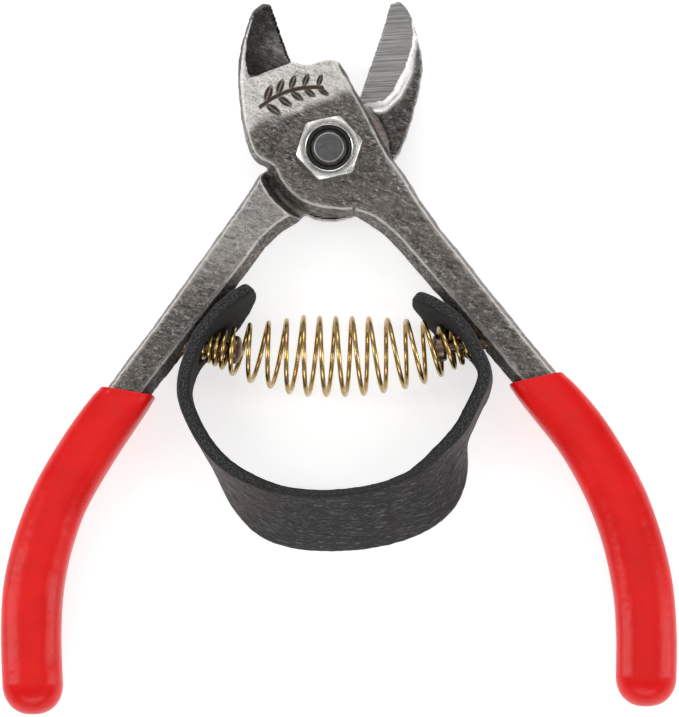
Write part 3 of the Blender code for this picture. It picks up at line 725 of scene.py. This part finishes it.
def front_masks(points, normals, sprig):
    """Bright scuffed plate, painted shade in the hollow of the jaw with a painted highlight along its
    grainy edge, and the browned stamping.
    """
    x, y, z = points.T
    worn_line = np.interp(x, *np.array(PLATE_WORN_ABOVE).T)
    plate = smoothstep(-1.2, 1.6, y - worn_line + 1.1 * lattice_noise(points, 2.5, 7))
    plate *= smoothstep(TOP_Z - 1.8, TOP_Z - 0.9, z)
    # Painted shade: the hollow of the jaw is painted dark, with a painted highlight along its grainy edge.
    hollow = (y > HOLLOW_FROM_Y) & (z < TOP_Z - 0.7) & (normals[:, 2] > 0.2)
    edge_gap = np.abs(x + 8.5 + (y - 20.2) * 0.39)
    grainy = smoothstep(8.5, 1.5, edge_gap) * smoothstep(31.0, 20.0, y)
    grainy *= 0.75 + 0.5 * lattice_noise(points, 1.5, 8)
    return {"bright": np.maximum(plate * (1 - hollow), hollow * grainy * 0.45) * (1 - sprig),
            "dark": np.maximum(sprig, hollow * (1 - np.clip(grainy, 0, 1))),
            "rust": sprig * 0.8}


def rear_masks(points, normals, ground):
    """Polished band round the jaw's relief, darker jaw side, lighter tang and browned bearing disc."""
    x, y, z = points.T
    shore = line_distance(points, RELIEF_SHORE)
    low = smoothstep(15.0, 24.0, y)
    facing = (z < MID_Z) & (y > JAW_FROM_Y) & (normals[:, 2] > 0.35) & (~ground)
    polish = smoothstep(3.6 - 1.3 * low, 2.2 - 1.1 * low, shore) * facing
    jaw_side = (y > 0) & (z < MID_Z)
    return {"polish": polish,
            "bright": 0.35 * smoothstep(-34, -20, y) * (y < -8) * (normals[:, 2] > 0.8),
            "dark": 0.40 * jaw_side * (1 - polish) * (~ground),
            "rust": 0.9 * smoothstep(BEARING_DISC_R + 1.5, BEARING_DISC_R, np.hypot(x, y))}


def fit_outline(node, mesh, points):
    """Fill out the hub or the inner corner below it, spread the jaw and draw out its tip."""
    x, y = points[:, 0], points[:, 1]
    if node == "rear_lever":
        below = smoothstep(-9.0, -13.5, y) * smoothstep(-24.0, -17.0, y)
        points[:, 1] -= HUB_FILL * below * bell(x, 0.5, 8.0, 4)
    else:
        points[:, 1] -= CROTCH_FILL * bell(x, 5.6, 4.0) * bell(y, -11.0, 2.6)
        cusp = (bell(x, 5.4, 2.2) * bell(y, -12.0, 2.2))[:, None]
        pairs = edge_pairs(mesh)
        for _ in range(CUSP_ROUNDS):
            points += (neighbour_mean(points, pairs) - points) * cusp * CUSP_PULL
    jaw = smoothstep(10.0, 20.0, y) * smoothstep(33.5, 30.0, y)
    points[:, 0] += JAW_SPREAD[node] * np.sign(x) * jaw * smoothstep(13.0, 19.0, np.abs(x))
    points[:, 1] += TIP_STRETCH * smoothstep(19.0, 33.0, y)


def lever_mesh(node):
    """A lever as a forging: soft rims, hammered skin, and masks for where it is scuffed or ground, and for
    painted highlights and painted shade.
    """
    mesh = voxel_copy(node)
    relax(mesh, 4)
    front = node == "front_lever"
    if front:
        points = get_points(mesh)
        near = (np.abs(points[:, :2] - SPRIG_AT) < SPRIG_ROOM).all(axis=1)
        refine(mesh, near & (points[:, 2] > TOP_Z - 0.8))
    points, normals = get_points(mesh), get_normals(mesh)
    proud = convexity(mesh, 1)
    shear_face = np.abs(np.abs(points[:, 2] - MID_Z) - SHEAR_GAP) < 0.25
    shear_face &= np.abs(normals[:, 2]) > 0.9
    ground = shear_face & ((points[:, 1] > JAW_FROM_Y) | (np.hypot(*points[:, :2].T) < GROUND_HUB_R))
    calm = 1 - 0.9 * ground
    laid = turned(points, HAMMER_LAY_DEG)
    lift = sum(lattice_noise(laid, size, k) * depth for k, (size, depth) in enumerate(HAMMER))
    if front:
        sprig = sprig_depth(points, normals)
        lift = lift - sprig * SPRIG_DEPTH
        masks = front_masks(points, normals, sprig)
    else:
        masks = rear_masks(points, normals, ground)
        calm = calm * (1 - 0.8 * masks["polish"])
    points += normals * (lift * calm)[:, None]
    fit_outline(node, mesh, points)
    points[ground, 2] = MID_Z + (SHEAR_GAP if front else -SHEAR_GAP)
    set_points(mesh, points)
    # Painted highlight, partly scuffed edges: bright lines on convex rims and on faces that slant away from
    # the top.
    rims = smoothstep(0.010, 0.036, proud + 0.006 * lattice_noise(points, 1.4, 11))
    facet = smoothstep(0.45, 0.60, normals[:, 2]) * smoothstep(0.93, 0.80, normals[:, 2])
    masks["edge_rub_and_highlight"] = 0.85 * np.maximum(rims, 0.9 * facet * (proud > 0.004))
    masks["ground"] = ground
    masks["bright"] = masks["bright"] * (1 - ground)
    # Painted shade: near-black in concave corners.
    masks["dark"] = np.clip(masks["dark"] + 0.9 * smoothstep(-0.006, -0.03, proud), 0, 1)
    for name, values in masks.items():
        set_mask(mesh, name, values)
    return mesh


def make_levers(steel):
    for node, body in (("front_lever", "front"), ("rear_lever", "rear")):
        add_piece(node.replace("lever", "forging"), lever_mesh(node), steel, node, body)


# ---- bolt, nut and lock ring

ROUND_SIDES = 192
BOLT_HEAD = [(0.4, 0.0), (5.7, 0.0), (6.75, 0.9), (6.75, 3.2), (5.4, 4.7), (4.9, 5.0)]  # (radius, z)
BOLT_R = 4.0
THREAD_DEPTH = 0.14
THREAD_PITCH = 1.25
THREADS_SHOWN = 9
NECK_TURN_DEG = 45.0
NUT_FLAT = 6.5
NUT_TURN_DEG = 12.2
NUT_EDGE_R = 7.6  # just past the corners
NUT_CHAMFER_R = (6.3, 6.42)  # where the chamfers start, below and on top
NUT_BORE_R = 4.06
LOCK_RING_R = (4.08, 4.84)


def polar_rings(profile, reach=None):
    """Rings from rows of (radius, z, cut); reach gives, at each angle, the radius that cut rows stay in."""
    angles = full_turn(ROUND_SIDES)
    rings = []
    for radius, z, cut in profile:
        full = np.full(ROUND_SIDES, float(radius))
        if cut:
            full = np.minimum(full, reach(angles))
        rings.append(np.c_[full * np.cos(angles), full * np.sin(angles), np.full(ROUND_SIDES, z)])
    return rings


def rows_of(points, cut=False):
    return [(r, z, cut) for r, z in points]


def polygon_reach(sides, flat, turn_deg, soft):
    """Radius of a regular polygon with soft corners, at each angle."""
    def reach(angles):
        sector = math.tau / sides
        local = (angles - math.radians(turn_deg)) % sector - sector / 2
        sharp = flat / np.cos(local)
        corner = flat / math.cos(sector / 2)
        return -soft * np.log(np.exp(-sharp / soft) + np.exp(-(corner - soft) / soft))
    return reach


def rounded(corners, radius, steps=5):
    """A profile of (r, z) with each inner corner rounded off."""
    out = [corners[0]]
    for a, b, c in zip(corners, corners[1:], corners[2:]):
        a, b, c = (Vector(p) for p in (a, b, c))
        cut = min(radius, (a - b).length * 0.45, (c - b).length * 0.45)
        start, end = b + (a - b).normalized() * cut, b + (c - b).normalized() * cut
        for k in range(steps + 1):
            t = k / steps
            out.append(tuple(start * (1 - t) ** 2 + b * 2 * t * (1 - t) + end * t**2))
    return out + [corners[-1]]


def ring_mesh(name, rings):
    """A closed mesh whose last ring joins its first."""
    rings = np.asarray(rings, float)
    count, sides = rings.shape[:2]
    k, r = np.meshgrid(np.arange(sides), np.arange(count))
    n, up = (k + 1) % sides, (r + 1) % count
    quads = np.stack([r * sides + k, r * sides + n, up * sides + n, up * sides + k], axis=2)
    mesh = bpy.data.meshes.new(name)
    mesh.from_pydata(rings.reshape(-1, 3).tolist(), [], quads.reshape(-1, 4).tolist())
    turn_out(mesh)
    return mesh


def make_bolt(finish):
    """Round head, square neck, threads that end inside the nut and a chamfered end."""
    neck = [(5.6, 5.02), (5.6, 7.15)]
    threads = []
    for k in range(THREADS_SHOWN, 0, -1):
        z = NUT_HIGH - 0.3 - THREAD_PITCH * k
        threads += [(BOLT_R, z), (BOLT_R - THREAD_DEPTH, z + THREAD_PITCH * 0.48)]
    end = rounded([(BOLT_R, BOLT_END - 1.1), (3.95, BOLT_END - 0.85), (3.15, BOLT_END),
                   (0.3, BOLT_END - 0.03)], 0.22)
    profile = rows_of(rounded(BOLT_HEAD, 0.5)) + rows_of(neck, cut=True)
    profile += rows_of([(BOLT_R, 7.2)] + threads + end)
    mesh = capped_mesh("pivot_bolt", polar_rings(profile, polygon_reach(4, BOLT_R, NECK_TURN_DEG, 0.1)))
    points = get_points(mesh)
    radius = np.hypot(*points[:, :2].T)
    at_end = points[:, 2] > BOLT_END - 1.3
    set_mask(mesh, "face", at_end & (radius < 3.02))
    # Painted highlight: a bright ring round the chamfer at the end.
    set_mask(mesh, "bright", at_end * smoothstep(0.20, 0.05, np.abs(radius - 3.12)) * 0.6)
    add_piece("bolt", mesh, finish, "pivot_bolt", "rear")


def make_nut(finish):
    """Hexagon with chamfers of 30 degrees, bored out on top for the lock ring."""
    low, high = NUT_LOW, NUT_HIGH
    slope = math.tan(math.radians(30))
    below, above = NUT_CHAMFER_R
    outside = [(r, low + (r - below) * slope) for r in np.linspace(below, NUT_EDGE_R, 13)]
    outside += [(NUT_EDGE_R, z) for z in np.linspace(low + 1.3, high - 1.3, 9)]
    outside += [(r, high - (r - above) * slope) for r in np.linspace(NUT_EDGE_R, above, 13)]
    top = rounded([(above, high), (5.6, high), (5.3, high + 0.10), (4.98, high - 0.05),
                   (4.95, high - 1.85), (NUT_BORE_R, high - 1.9)], 0.12)
    bottom = rounded([(NUT_BORE_R, low + 0.6), (4.5, low), (below, low)], 0.15)
    profile = rows_of(bottom) + rows_of(outside, cut=True) + rows_of(top)
    mesh = ring_mesh("pivot_nut", polar_rings(profile, polygon_reach(6, NUT_FLAT, NUT_TURN_DEG, 0.10)))
    points = get_points(mesh)
    radius = np.hypot(*points[:, :2].T)
    points[:, 2] += 0.025 * lattice_noise(points, 1.2, 3) * (points[:, 2] > high - 1) * (radius > 5.2)
    set_points(mesh, points)
    # Painted shade: everything inside the counterbore is dark.
    set_mask(mesh, "dark", smoothstep(5.02, 4.9, radius) * 0.9)
    face = smoothstep(5.1, 5.3, radius) * smoothstep(6.35, 6.0, radius)
    set_mask(mesh, "face", face * (points[:, 2] > high - 0.3) * 0.85)
    add_piece("lock_nut", mesh, finish, "pivot_nut", "rear")


def make_lock_ring(finish):
    high = NUT_HIGH - 0.25
    inner, outer = LOCK_RING_R
    profile = rounded([(inner, high - 1.4), (outer, high - 1.4), (outer, high), (inner, high - 0.25)], 0.2)
    mesh = ring_mesh("nut_lock_ring", polar_rings(rows_of(profile)))
    add_piece("lock_ring", mesh, finish, "nut_lock_ring", "rear")


# ---- studs

def stud_frame(side):
    """Centre of a stud's head, its axis towards the spring, and the level direction across it."""
    tilt = math.radians(STUD_TILT_DEG)
    axis = np.array([-side * math.cos(tilt), -math.sin(tilt), 0.0])
    across = np.array([-axis[1], axis[0], 0.0])
    centre = np.array([*STUD_HEAD[side > 0], SPRING_Z])
    return centre, axis, across


def make_stud(name, node, side, body, finish):
    """A post with a chamfered end, and a domed head."""
    reach = STUD_POST[side > 0]
    centre, axis, across = stud_frame(side)
    corners = [(0.2, -reach), (1.3, -reach), (1.5, 0.3 - reach), (1.5, -1.6), (2.6, -1.6),
               (STUD_HEAD_R, -1.1)]
    dome = [(STUD_HEAD_R * math.cos(a), 0.2 + 1.3 * math.sin(a)) for a in np.linspace(0, 1.5, 16)]
    profile = rounded(corners + dome[:1], 0.25) + dome[1:]
    angles = full_turn(72)
    up = np.array([0.0, 0.0, 1.0])
    rings = []
    for radius, along in profile:
        flat = across * np.cos(angles)[:, None] + up * np.sin(angles)[:, None]
        rings.append(centre + axis * along + flat * radius)
    add_piece(name, capped_mesh(node, rings), finish, node, body)


# ---- grips

LINE_STEPS = 400
GRIP_SIDES = 72
CAVITY_RINGS = 39
LIP_RINGS = 12
GRIP_RINGS = 150
NOSE_RINGS = 25
# Painted shade goes on these rings.
MOUTH_SHADE_RINGS = CAVITY_RINGS + 5  # the rings of the cavity and of its rim
GRIP_POWER = 2.75  # squareness of the section: 2 is an ellipse
CAVITY_POWER = 6.0
CAVITY_ROOM = 0.9
CAVITY_END = 4.2  # how far the cavity runs on past the end of the tang
LIP = 0.55


def grip_sections(line, rows):
    """Rings from rows of (distance along, width, thickness, squareness, lean of the mouth)."""
    points = smooth_line(line, LINE_STEPS)
    ways = directions(points)
    total = distances(points)[-1]
    angles = full_turn(GRIP_SIDES)
    c, s = np.cos(angles), np.sin(angles)
    rings = []
    for at, width, thick, power, slant in rows:
        share = np.clip(at / total, 0, 1) * LINE_STEPS
        k = min(int(share), LINE_STEPS - 1)
        centre = points[k] + (points[k + 1] - points[k]) * (share - k)
        way = ways[k] * (1 - (share - k)) + ways[k + 1] * (share - k)
        across = np.array([-way[1], way[0]])
        reach = (np.abs(c) ** power + np.abs(s) ** power) ** (-1 / power)
        flat = centre + np.outer(c * reach * width / 2, across + way * slant)
        rings.append(np.c_[flat, MID_Z + s * reach * thick / 2])
    return rings


def grip_rows(total, side):
    """Rows for grip_sections: up the cavity, over the rolled lip and down to the round nose."""
    start = GRIP_MOUTH_AT + LIP
    bottom = total - TANG_STOP + CAVITY_END
    inner_thick = 2 * HALF_T + CAVITY_ROOM

    def slant(at):
        return side * GRIP_SLANT * max(0.0, 1 - (at - GRIP_MOUTH_AT) / 14)

    rows = []
    for t in np.linspace(1, 0, CAVITY_RINGS, endpoint=False):
        at = start + (bottom - start) * t
        rows.append((at, curve_value(TANG_W, at) + CAVITY_ROOM, inner_thick, CAVITY_POWER, slant(at)))
    for a in np.linspace(0, math.pi, LIP_RINGS):
        at = GRIP_MOUTH_AT + LIP * (1 - math.sin(a))
        out = (1 - math.cos(a)) / 2
        inner, outer = curve_value(TANG_W, at) + CAVITY_ROOM, curve_value(GRIP_W, 0) + 0.1
        thick = inner_thick + (curve_value(GRIP_T, 0) - inner_thick) * out
        rows.append((at, inner + (outer - inner) * out, thick, CAVITY_POWER - 2.2 * out, slant(at)))
    for t in np.linspace(0, 1, GRIP_RINGS)[1:]:
        at = start + (total - GRIP_NOSE - start) * t
        down = at - GRIP_MOUTH_AT
        power = GRIP_POWER + 1.3 * math.exp(-down / 9)
        rows.append((at, curve_value(GRIP_W, down), curve_value(GRIP_T, down), power, slant(at)))
    width, thick = rows[-1][1:3]
    for a in np.linspace(0, 1.50, NOSE_RINGS + 1)[1:]:
        shrink = math.cos(a) ** 0.85
        rows.append((total - GRIP_NOSE + GRIP_NOSE * math.sin(a), width * shrink, thick * shrink,
                     GRIP_POWER - 0.9 * math.sin(a), 0.0))
    return rows


def make_grip(name, node, line, side, body, finish):
    """Dipped sleeve, with faint waves on its outside."""
    rows = grip_rows(distances(smooth_line(line, LINE_STEPS))[-1], side)
    mesh = capped_mesh(node, grip_sections(line, rows))
    points, normals = get_points(mesh), get_normals(mesh)
    order = np.arange(len(points))
    outside = order > (CAVITY_RINGS + LIP_RINGS + 1) * GRIP_SIDES
    outside[-2] = False  # the middle of the cavity's bottom
    waves = 0.10 * lattice_noise(points, (16, 16, 9), 5) + 0.035 * lattice_noise(points, 5, 6)
    set_points(mesh, points + normals * (waves * outside)[:, None])
    # Painted shade inside the mouth and on the inner side of its lip.
    set_mask(mesh, "mouth_shade", order < MOUTH_SHADE_RINGS * GRIP_SIDES)
    add_piece(name, mesh, finish, node, body)


# ---- spring

STEPS_PER_TURN = 64
WIRE_SIDES = 14
SOLID_PITCH = 1.10


def spring_centre(x):
    """A point on the middle line of the spring, a parabola, and the line's direction there."""
    (x0, y0), (x1, y1), (x2, y2) = SPRING_ARC
    sag = ((y0 - y1) / (x0 - x1) ** 2 + (y2 - y1) / (x2 - x1) ** 2) / 2
    point = np.array([x, y1 + sag * (x - x1) ** 2, SPRING_Z])
    way = np.array([1.0, 2 * sag * (x - x1), 0.0])
    return point, way / np.linalg.norm(way)


def make_spring(finish):
    """Barrel coil. How the pivot's turn could be shared out where its turns are open enough to close up is
    worked out, but not used.
    """
    first, last = SPRING_X[0][0], SPRING_X[-1][0]
    turns = np.linspace(first, last, round((last - first) * STEPS_PER_TURN))
    path, axes = [], []
    for turn in turns:
        centre, along = spring_centre(curve_value(SPRING_X, turn))
        up = np.array([-along[1], along[0], 0.0])
        radius = curve_value(SPRING_R, turn)
        angle = math.tau * turn
        fan = SPRING_FAN * (centre[0] - SPRING_ARC[1][0]) / (SPRING_ARC[2][0] - SPRING_ARC[1][0])
        path.append(centre + (up - along * fan) * radius * math.cos(angle)
                    + np.array([0, 0, radius * math.sin(angle)]))
        axes.append(along)
    path, axes = np.array(path), np.array(axes)
    ways = directions(path)
    side = np.cross(ways, axes)
    side /= np.linalg.norm(side, axis=1)[:, None]
    over = np.cross(ways, side)
    angles = full_turn(WIRE_SIDES)
    rings = []
    for k, point in enumerate(path):
        nose = min(k, len(path) - 1 - k)
        radius = WIRE_R * (1 - 0.35 * (1 - nose / 3) ** 2 if nose < 3 else 1)
        circle = np.outer(np.cos(angles), side[k]) + np.outer(np.sin(angles), over[k])
        rings.append(point + circle * radius)
    mesh = capped_mesh("return_spring", rings)
    add_uv(mesh, np.repeat(distances(path), WIRE_SIDES), np.tile(angles, len(path)))
    pitch = np.gradient([curve_value(SPRING_X, t) for t in turns], turns)
    closing = np.cumsum(np.maximum(pitch - SOLID_PITCH, 0.0))
    closing = (closing - closing[0]) / (closing[-1] - closing[0])
    obj = add_piece("coil_spring", mesh, finish, "return_spring")
    bend_with(obj)


def add_uv(mesh, u, v):
    """Texture coordinates in millimetres, one pair for each ring vertex; caps take the nearest."""
    pairs = np.zeros((len(mesh.vertices), 2), np.float32)
    pairs[:len(u), 0], pairs[:len(u), 1] = u, v
    pairs[len(u):, 0] = [u[0], u[-1]][: len(pairs) - len(u)]
    loops = np.empty(len(mesh.loops), np.int32)
    mesh.loops.foreach_get("vertex_index", loops)
    layer = mesh.uv_layers.new(name="along")
    layer.data.foreach_set("uv", pairs[loops].ravel())


def bend_with(obj):
    """Bake the piece's transform into its mesh; the pivot's turn is not spread along it."""
    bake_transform(obj)


# ---- strap

STRAP_RINGS = 460
FACE_STEPS = 38
EDGE_STEPS = 9
STRAP_CORNER = 0.65
EAR_ROUND = 5.0
STRAP_HOLE_R = 4.4
STRAP_HOLE_SPAN = (-11.0, -2.0)  # along the stud, from its head
SECTION_MM = (7.5, 1.6)  # half width and half thickness in the strap's texture coordinates
STRAP_FIXED = 0.14  # the share of the strap's length, at each end, that stays with its stud
STRAP_EASE = 0.04  # the share over which it then starts to bend
STRAP_MOST_TURN = 0.035  # the most of the pivot's turn that one millimetre of strap takes up
SHARE_BLUR = 8  # rings
CLOSING_DEG = 46.0


def strap_section():
    """One turn round the strap's section: (across, through) from -1 to 1, from the outer face on."""
    face = np.linspace(1, -1, FACE_STEPS, endpoint=False)
    edge = np.linspace(1, -1, EDGE_STEPS, endpoint=False)
    outer = np.c_[face, np.ones(FACE_STEPS)]
    back = np.c_[-np.ones(EDGE_STEPS), edge]
    inner = np.c_[-face, -np.ones(FACE_STEPS)]
    front = np.c_[np.ones(EDGE_STEPS), -edge]
    return np.vstack([outer, back, inner, front])


def strap_shares(line, ways):
    """How much of the pivot's turn each ring has taken up: each step takes it by the room its rims have."""
    outward = np.c_[ways[:, 1], -ways[:, 0]]
    at = np.linspace(0, 1, len(line))
    tilts = np.radians([curve_value(STRAP_TILT, share) for share in at])
    room = STRAP_MOST_TURN * np.diff(distances(line))
    for high in (-1, 1):
        for out in (-1, 1):
            reach = STRAP_W / 2 * np.sin(tilts) * high + STRAP_T / 2 * np.cos(tilts) * out
            rim = line + outward * reach[:, None]
            advance = np.sum(np.diff(rim, axis=0) * ways[:-1], axis=1)
            x, y = ((rim[1:] + rim[:-1]) / 2).T
            lost = (x * ways[:-1, 1] - y * ways[:-1, 0]) * math.radians(CLOSING_DEG)
            most = np.maximum(advance, 0) / np.maximum(lost, 1)
            room = np.where(lost > 1, np.minimum(room, most), room)
    middle = (at[1:] + at[:-1]) / 2
    room *= np.clip((np.minimum(middle, 1 - middle) - STRAP_FIXED) / STRAP_EASE, 0, 1)
    spread = np.exp(-np.arange(-4 * SHARE_BLUR, 4 * SHARE_BLUR + 1) ** 2 / (2 * SHARE_BLUR**2))
    room = np.convolve(room, spread / spread.sum(), "same")
    taken = np.r_[0, np.cumsum(room)]
    return taken / taken[-1]


def round_corners(across, through, width, depth):
    """Pull the corners of a section of this width and depth in to round ones."""
    corner = STRAP_CORNER
    flats = (width / 2 - corner, depth / 2 - corner)
    past = [np.maximum(np.abs(v) - flat, 0) for v, flat in zip((across, through), flats)]
    gone = np.hypot(*past) / corner
    pull = np.where(gone > 1, 1 / np.maximum(gone, 1e-6), 1)
    return [np.sign(v) * (np.minimum(np.abs(v), flat) + over * pull)
            for v, flat, over in zip((across, through), flats, past)]


def strap_rings(line, ways, section):
    """The section at each point of the line, tilted, and narrowed to a round ear at both ends."""
    length = distances(line)[-1]
    up = np.array([0.0, 0.0, 1.0])
    rings = []
    for k, (x, y) in enumerate(line):
        share = k / STRAP_RINGS
        tilt = math.radians(curve_value(STRAP_TILT, share))
        outward = np.array([ways[k][1], -ways[k][0], 0.0])
        wide = outward * math.sin(tilt) + up * math.cos(tilt)
        thick = outward * math.cos(tilt) - up * math.sin(tilt)
        from_end = min(share, 1 - share) * length
        width = STRAP_W
        if from_end < EAR_ROUND:
            width -= 2 * (EAR_ROUND - math.sqrt(EAR_ROUND**2 - (EAR_ROUND - from_end) ** 2)) * 0.9
        depth = STRAP_T * (1 - 0.45 * math.exp(-from_end / 0.5))
        across, through = section[:, 0] * width / 2, section[:, 1] * depth / 2
        across, through = round_corners(across, through, width, depth)
        rings.append(np.array([x, y, MID_Z]) + np.outer(across, wide) + np.outer(through, thick))
    return rings


def make_strap(finish):
    """Leather band with creased skin, fuzzy cut edges and a hole behind each stud."""
    line = smooth_line(STRAP_LINE, STRAP_RINGS)
    ways = directions(line)
    section = strap_section()
    sides = len(section)
    mesh = capped_mesh("hand_strap", strap_rings(line, ways, section))
    v = distances(section * SECTION_MM)
    u = np.linspace(0, distances(line)[-1], STRAP_RINGS + 1)
    all_u, all_v = np.repeat(u, sides), np.tile(v, STRAP_RINGS + 1)
    add_uv(mesh, all_u, all_v)

    across, through = np.vstack([np.tile(section, (STRAP_RINGS + 1, 1)), np.zeros((2, 2))]).T
    cut_edge = smoothstep(0.93, 0.99, np.abs(across))
    points, normals = get_points(mesh), get_normals(mesh)
    # Painted highlight on the rounded top edge of the outer face, on the strap's upper part.
    top_edge_highlight = smoothstep(0.80, 1.0, through) * smoothstep(0.90, 1.0, across)
    set_mask(mesh, "cut_edge", cut_edge)
    set_mask(mesh, "flesh", (through < -0.95) * (1 - cut_edge))
    set_mask(mesh, "rim", smoothstep(-0.35, -0.75, through) * cut_edge * 0.8)
    set_mask(mesh, "top_edge_highlight", top_edge_highlight * (points[:, 1] > -56) * 0.8)

    place = np.c_[np.r_[all_u, u[0], u[-1]], np.r_[all_v, 0, 0], np.zeros(len(points))]
    laid = turned(place, CREASE_LAY_DEG)
    creases = lattice_noise(laid, (4.2, 1.0, 1.0), 21) * 0.09
    creases += lattice_noise(laid, (2.0, 0.7, 1.0), 22) * 0.05
    fuzz = lattice_noise(points, 0.7, 23) * 0.05 + lattice_noise(points, 1.8, 24) * 0.06
    outer = (through > 0.95) * (1 - cut_edge)
    set_points(mesh, points + normals * (creases * outer + fuzz * (1 - outer))[:, None])

    shares = strap_shares(line, ways)
    set_mask(mesh, "share", np.r_[np.repeat(shares, sides), shares[0], shares[-1]])
    mesh = cut_holes(mesh)
    near = shares[nearest_ring(mesh, line)]
    kept = np.empty(len(mesh.vertices), np.float32)
    mesh.attributes["share"].data.foreach_get("value", kept)
    obj = add_piece("leather_strap", mesh, finish, "hand_strap")
    bend_with(obj)


def nearest_ring(mesh, line):
    """For each vertex, the ring whose middle is nearest in the plane."""
    tree = kdtree.KDTree(len(line))
    for k, (x, y) in enumerate(line):
        tree.insert((x, y, 0.0), k)
    tree.balance()
    return np.array([tree.find((p[0], p[1], 0.0))[1] for p in get_points(mesh)])


def cut_holes(mesh):
    """Cut a round hole in the strap where each end of the spring passes through it.

    The cut may leave a new vertex without its "share", which nothing mends.
    """
    strap = new_object("strap", mesh)
    holes = []
    for side in (-1, 1):
        centre, axis, across = stud_frame(side)
        angles = full_turn(48)
        circle = (np.outer(np.cos(angles), across) + np.outer(np.sin(angles), (0, 0, 1))) * STRAP_HOLE_R
        rings = [centre + axis * along + circle for along in STRAP_HOLE_SPAN]
        hole = new_object("hole", capped_mesh("hole", rings))
        cutter = strap.modifiers.new("hole", "BOOLEAN")
        cutter.operation = "DIFFERENCE"
        cutter.solver = "EXACT"
        cutter.object = hole
        holes.append(hole)
    made = bake_modifiers(strap)
    for hole in holes:
        bpy.data.objects.remove(hole)
    return made


# ---- floor

def make_floor():
    bm = bmesh.new()
    bmesh.ops.create_grid(bm, x_segments=8, y_segments=8, size=2.0)
    mesh = bpy.data.meshes.new("floor")
    bm.to_mesh(mesh)
    bm.free()
    mesh.materials.append(floor_paint())
    new_object("floor", mesh)


make_camera()
make_studio()
make_floor()
make_levers(forged_steel())
make_bolt(black_steel())
make_nut(zinc_plate())
make_lock_ring(nylon())
studs = stud_steel()
make_stud("stud_left", "left_stud", -1, "rear", studs)
make_stud("stud_right", "right_stud", 1, "front", studs)
vinyl = red_vinyl()
make_grip("sleeve_left", "left_grip", LEFT_LINE, -1, "rear", vinyl)
make_grip("sleeve_right", "right_grip", RIGHT_LINE, 1, "front", vinyl)
make_spring(yellow_zinc())
make_strap(leather())
